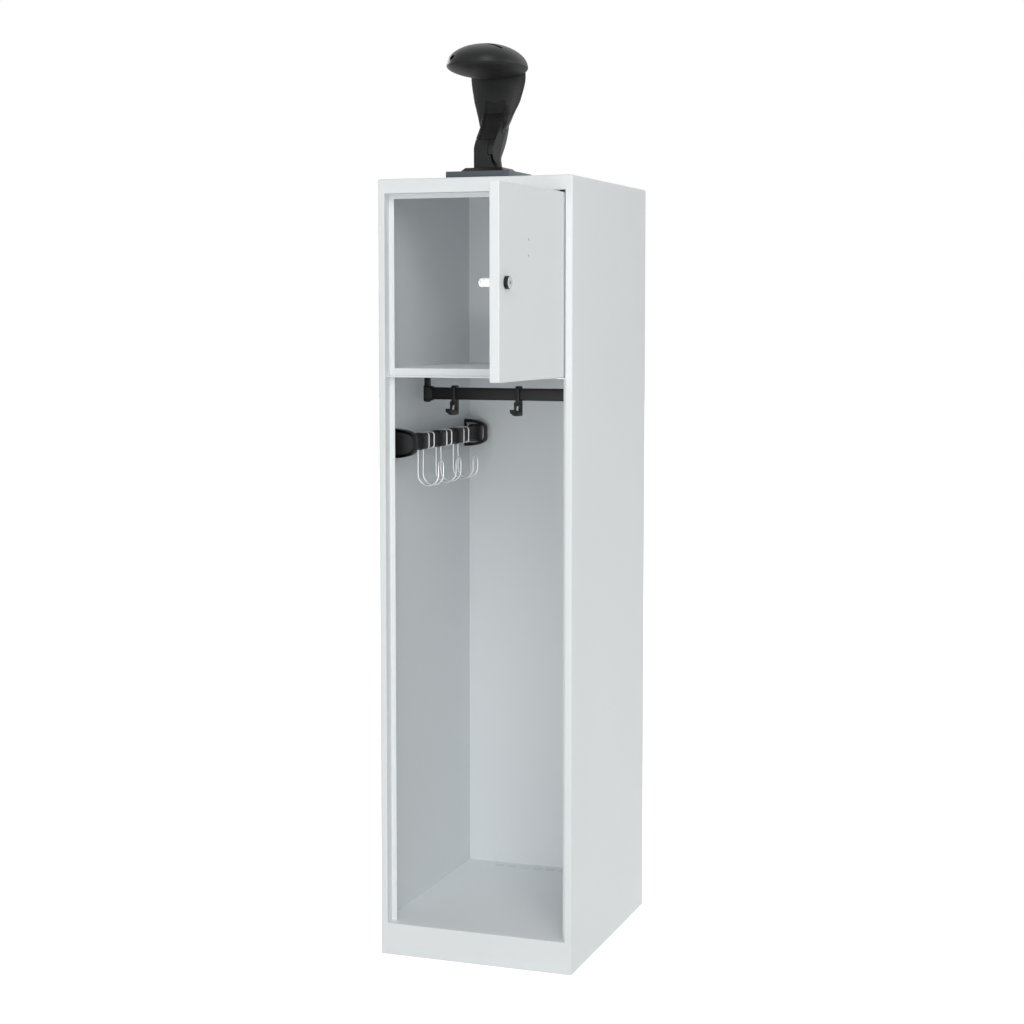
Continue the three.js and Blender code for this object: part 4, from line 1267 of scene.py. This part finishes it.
FLOOR_SCALE = 0.033
ROOM_LIGHT = 0.28


def white_floor():
    """A plain floor that fades from a pale shadow tone at the locker to white."""
    mesh = bpy.data.meshes.new("studio_floor")
    reach = 30
    corners = [(-reach, -reach, 0), (reach, -reach, 0), (reach, reach, 0), (-reach, reach, 0)]
    mesh.from_pydata(corners, [], [(0, 1, 2, 3)])
    floor = bpy.data.objects.new("studio_floor", mesh)
    bpy.context.scene.collection.objects.link(floor)
    finish = Finish("studio_floor", Roughness=0.9, Specular_IOR_Level=0.0)
    place = finish.place()
    away = finish.node("ShaderNodeVectorMath", {"operation": "LENGTH"}, {0: place}, "Value")
    stops = ((0.008, tone(226, 226, 226)), (0.02, tone(255, 255, 255)))
    fade = finish.node("ShaderNodeValToRGB", {"stops": stops}, {0: away * FLOOR_SCALE})
    grain = finish.noise(3, 2)
    seen = finish.node("ShaderNodeLightPath", output="Is Camera Ray")
    mirrored = finish.node("ShaderNodeLightPath", output="Is Glossy Ray")
    passed = finish.node("ShaderNodeLightPath", output="Is Transmission Ray")
    finish.surface(
        Base_Color=finish.mix(grain, tone(246, 246, 246), tone(243, 243, 243)),
        Emission_Color=finish.mix(seen + mirrored + passed, (0, 0, 0, 1), fade),
    )
    finish.shader.inputs["Emission Strength"].default_value = 1
    mesh.materials.append(finish.material)


def white_room():
    """A white surround, at full strength only for what the camera, gloss and glass see."""
    world = bpy.data.worlds.new("white_room")
    bpy.context.scene.world = world
    world.use_nodes = True
    nodes, links = world.node_tree.nodes, world.node_tree.links
    path = nodes.new("ShaderNodeLightPath")
    widest = None
    for ray in ("Is Camera Ray", "Is Glossy Ray", "Is Transmission Ray"):
        if widest is None:
            widest = path.outputs[ray]
            continue
        larger = nodes.new("ShaderNodeMath")
        larger.operation = "MAXIMUM"
        links.new(widest, larger.inputs[0])
        links.new(path.outputs[ray], larger.inputs[1])
        widest = larger.outputs[0]
    level = nodes.new("ShaderNodeMapRange")
    level.inputs["To Min"].default_value = ROOM_LIGHT
    level.inputs["To Max"].default_value = 1.0
    links.new(widest, level.inputs["Value"])
    links.new(level.outputs["Result"], nodes["Background"].inputs["Strength"])
    nodes["Background"].inputs["Color"].default_value = (1, 1, 1, 1)


white_floor()
white_room()
bpy.context.scene.view_settings.view_transform = "Standard"
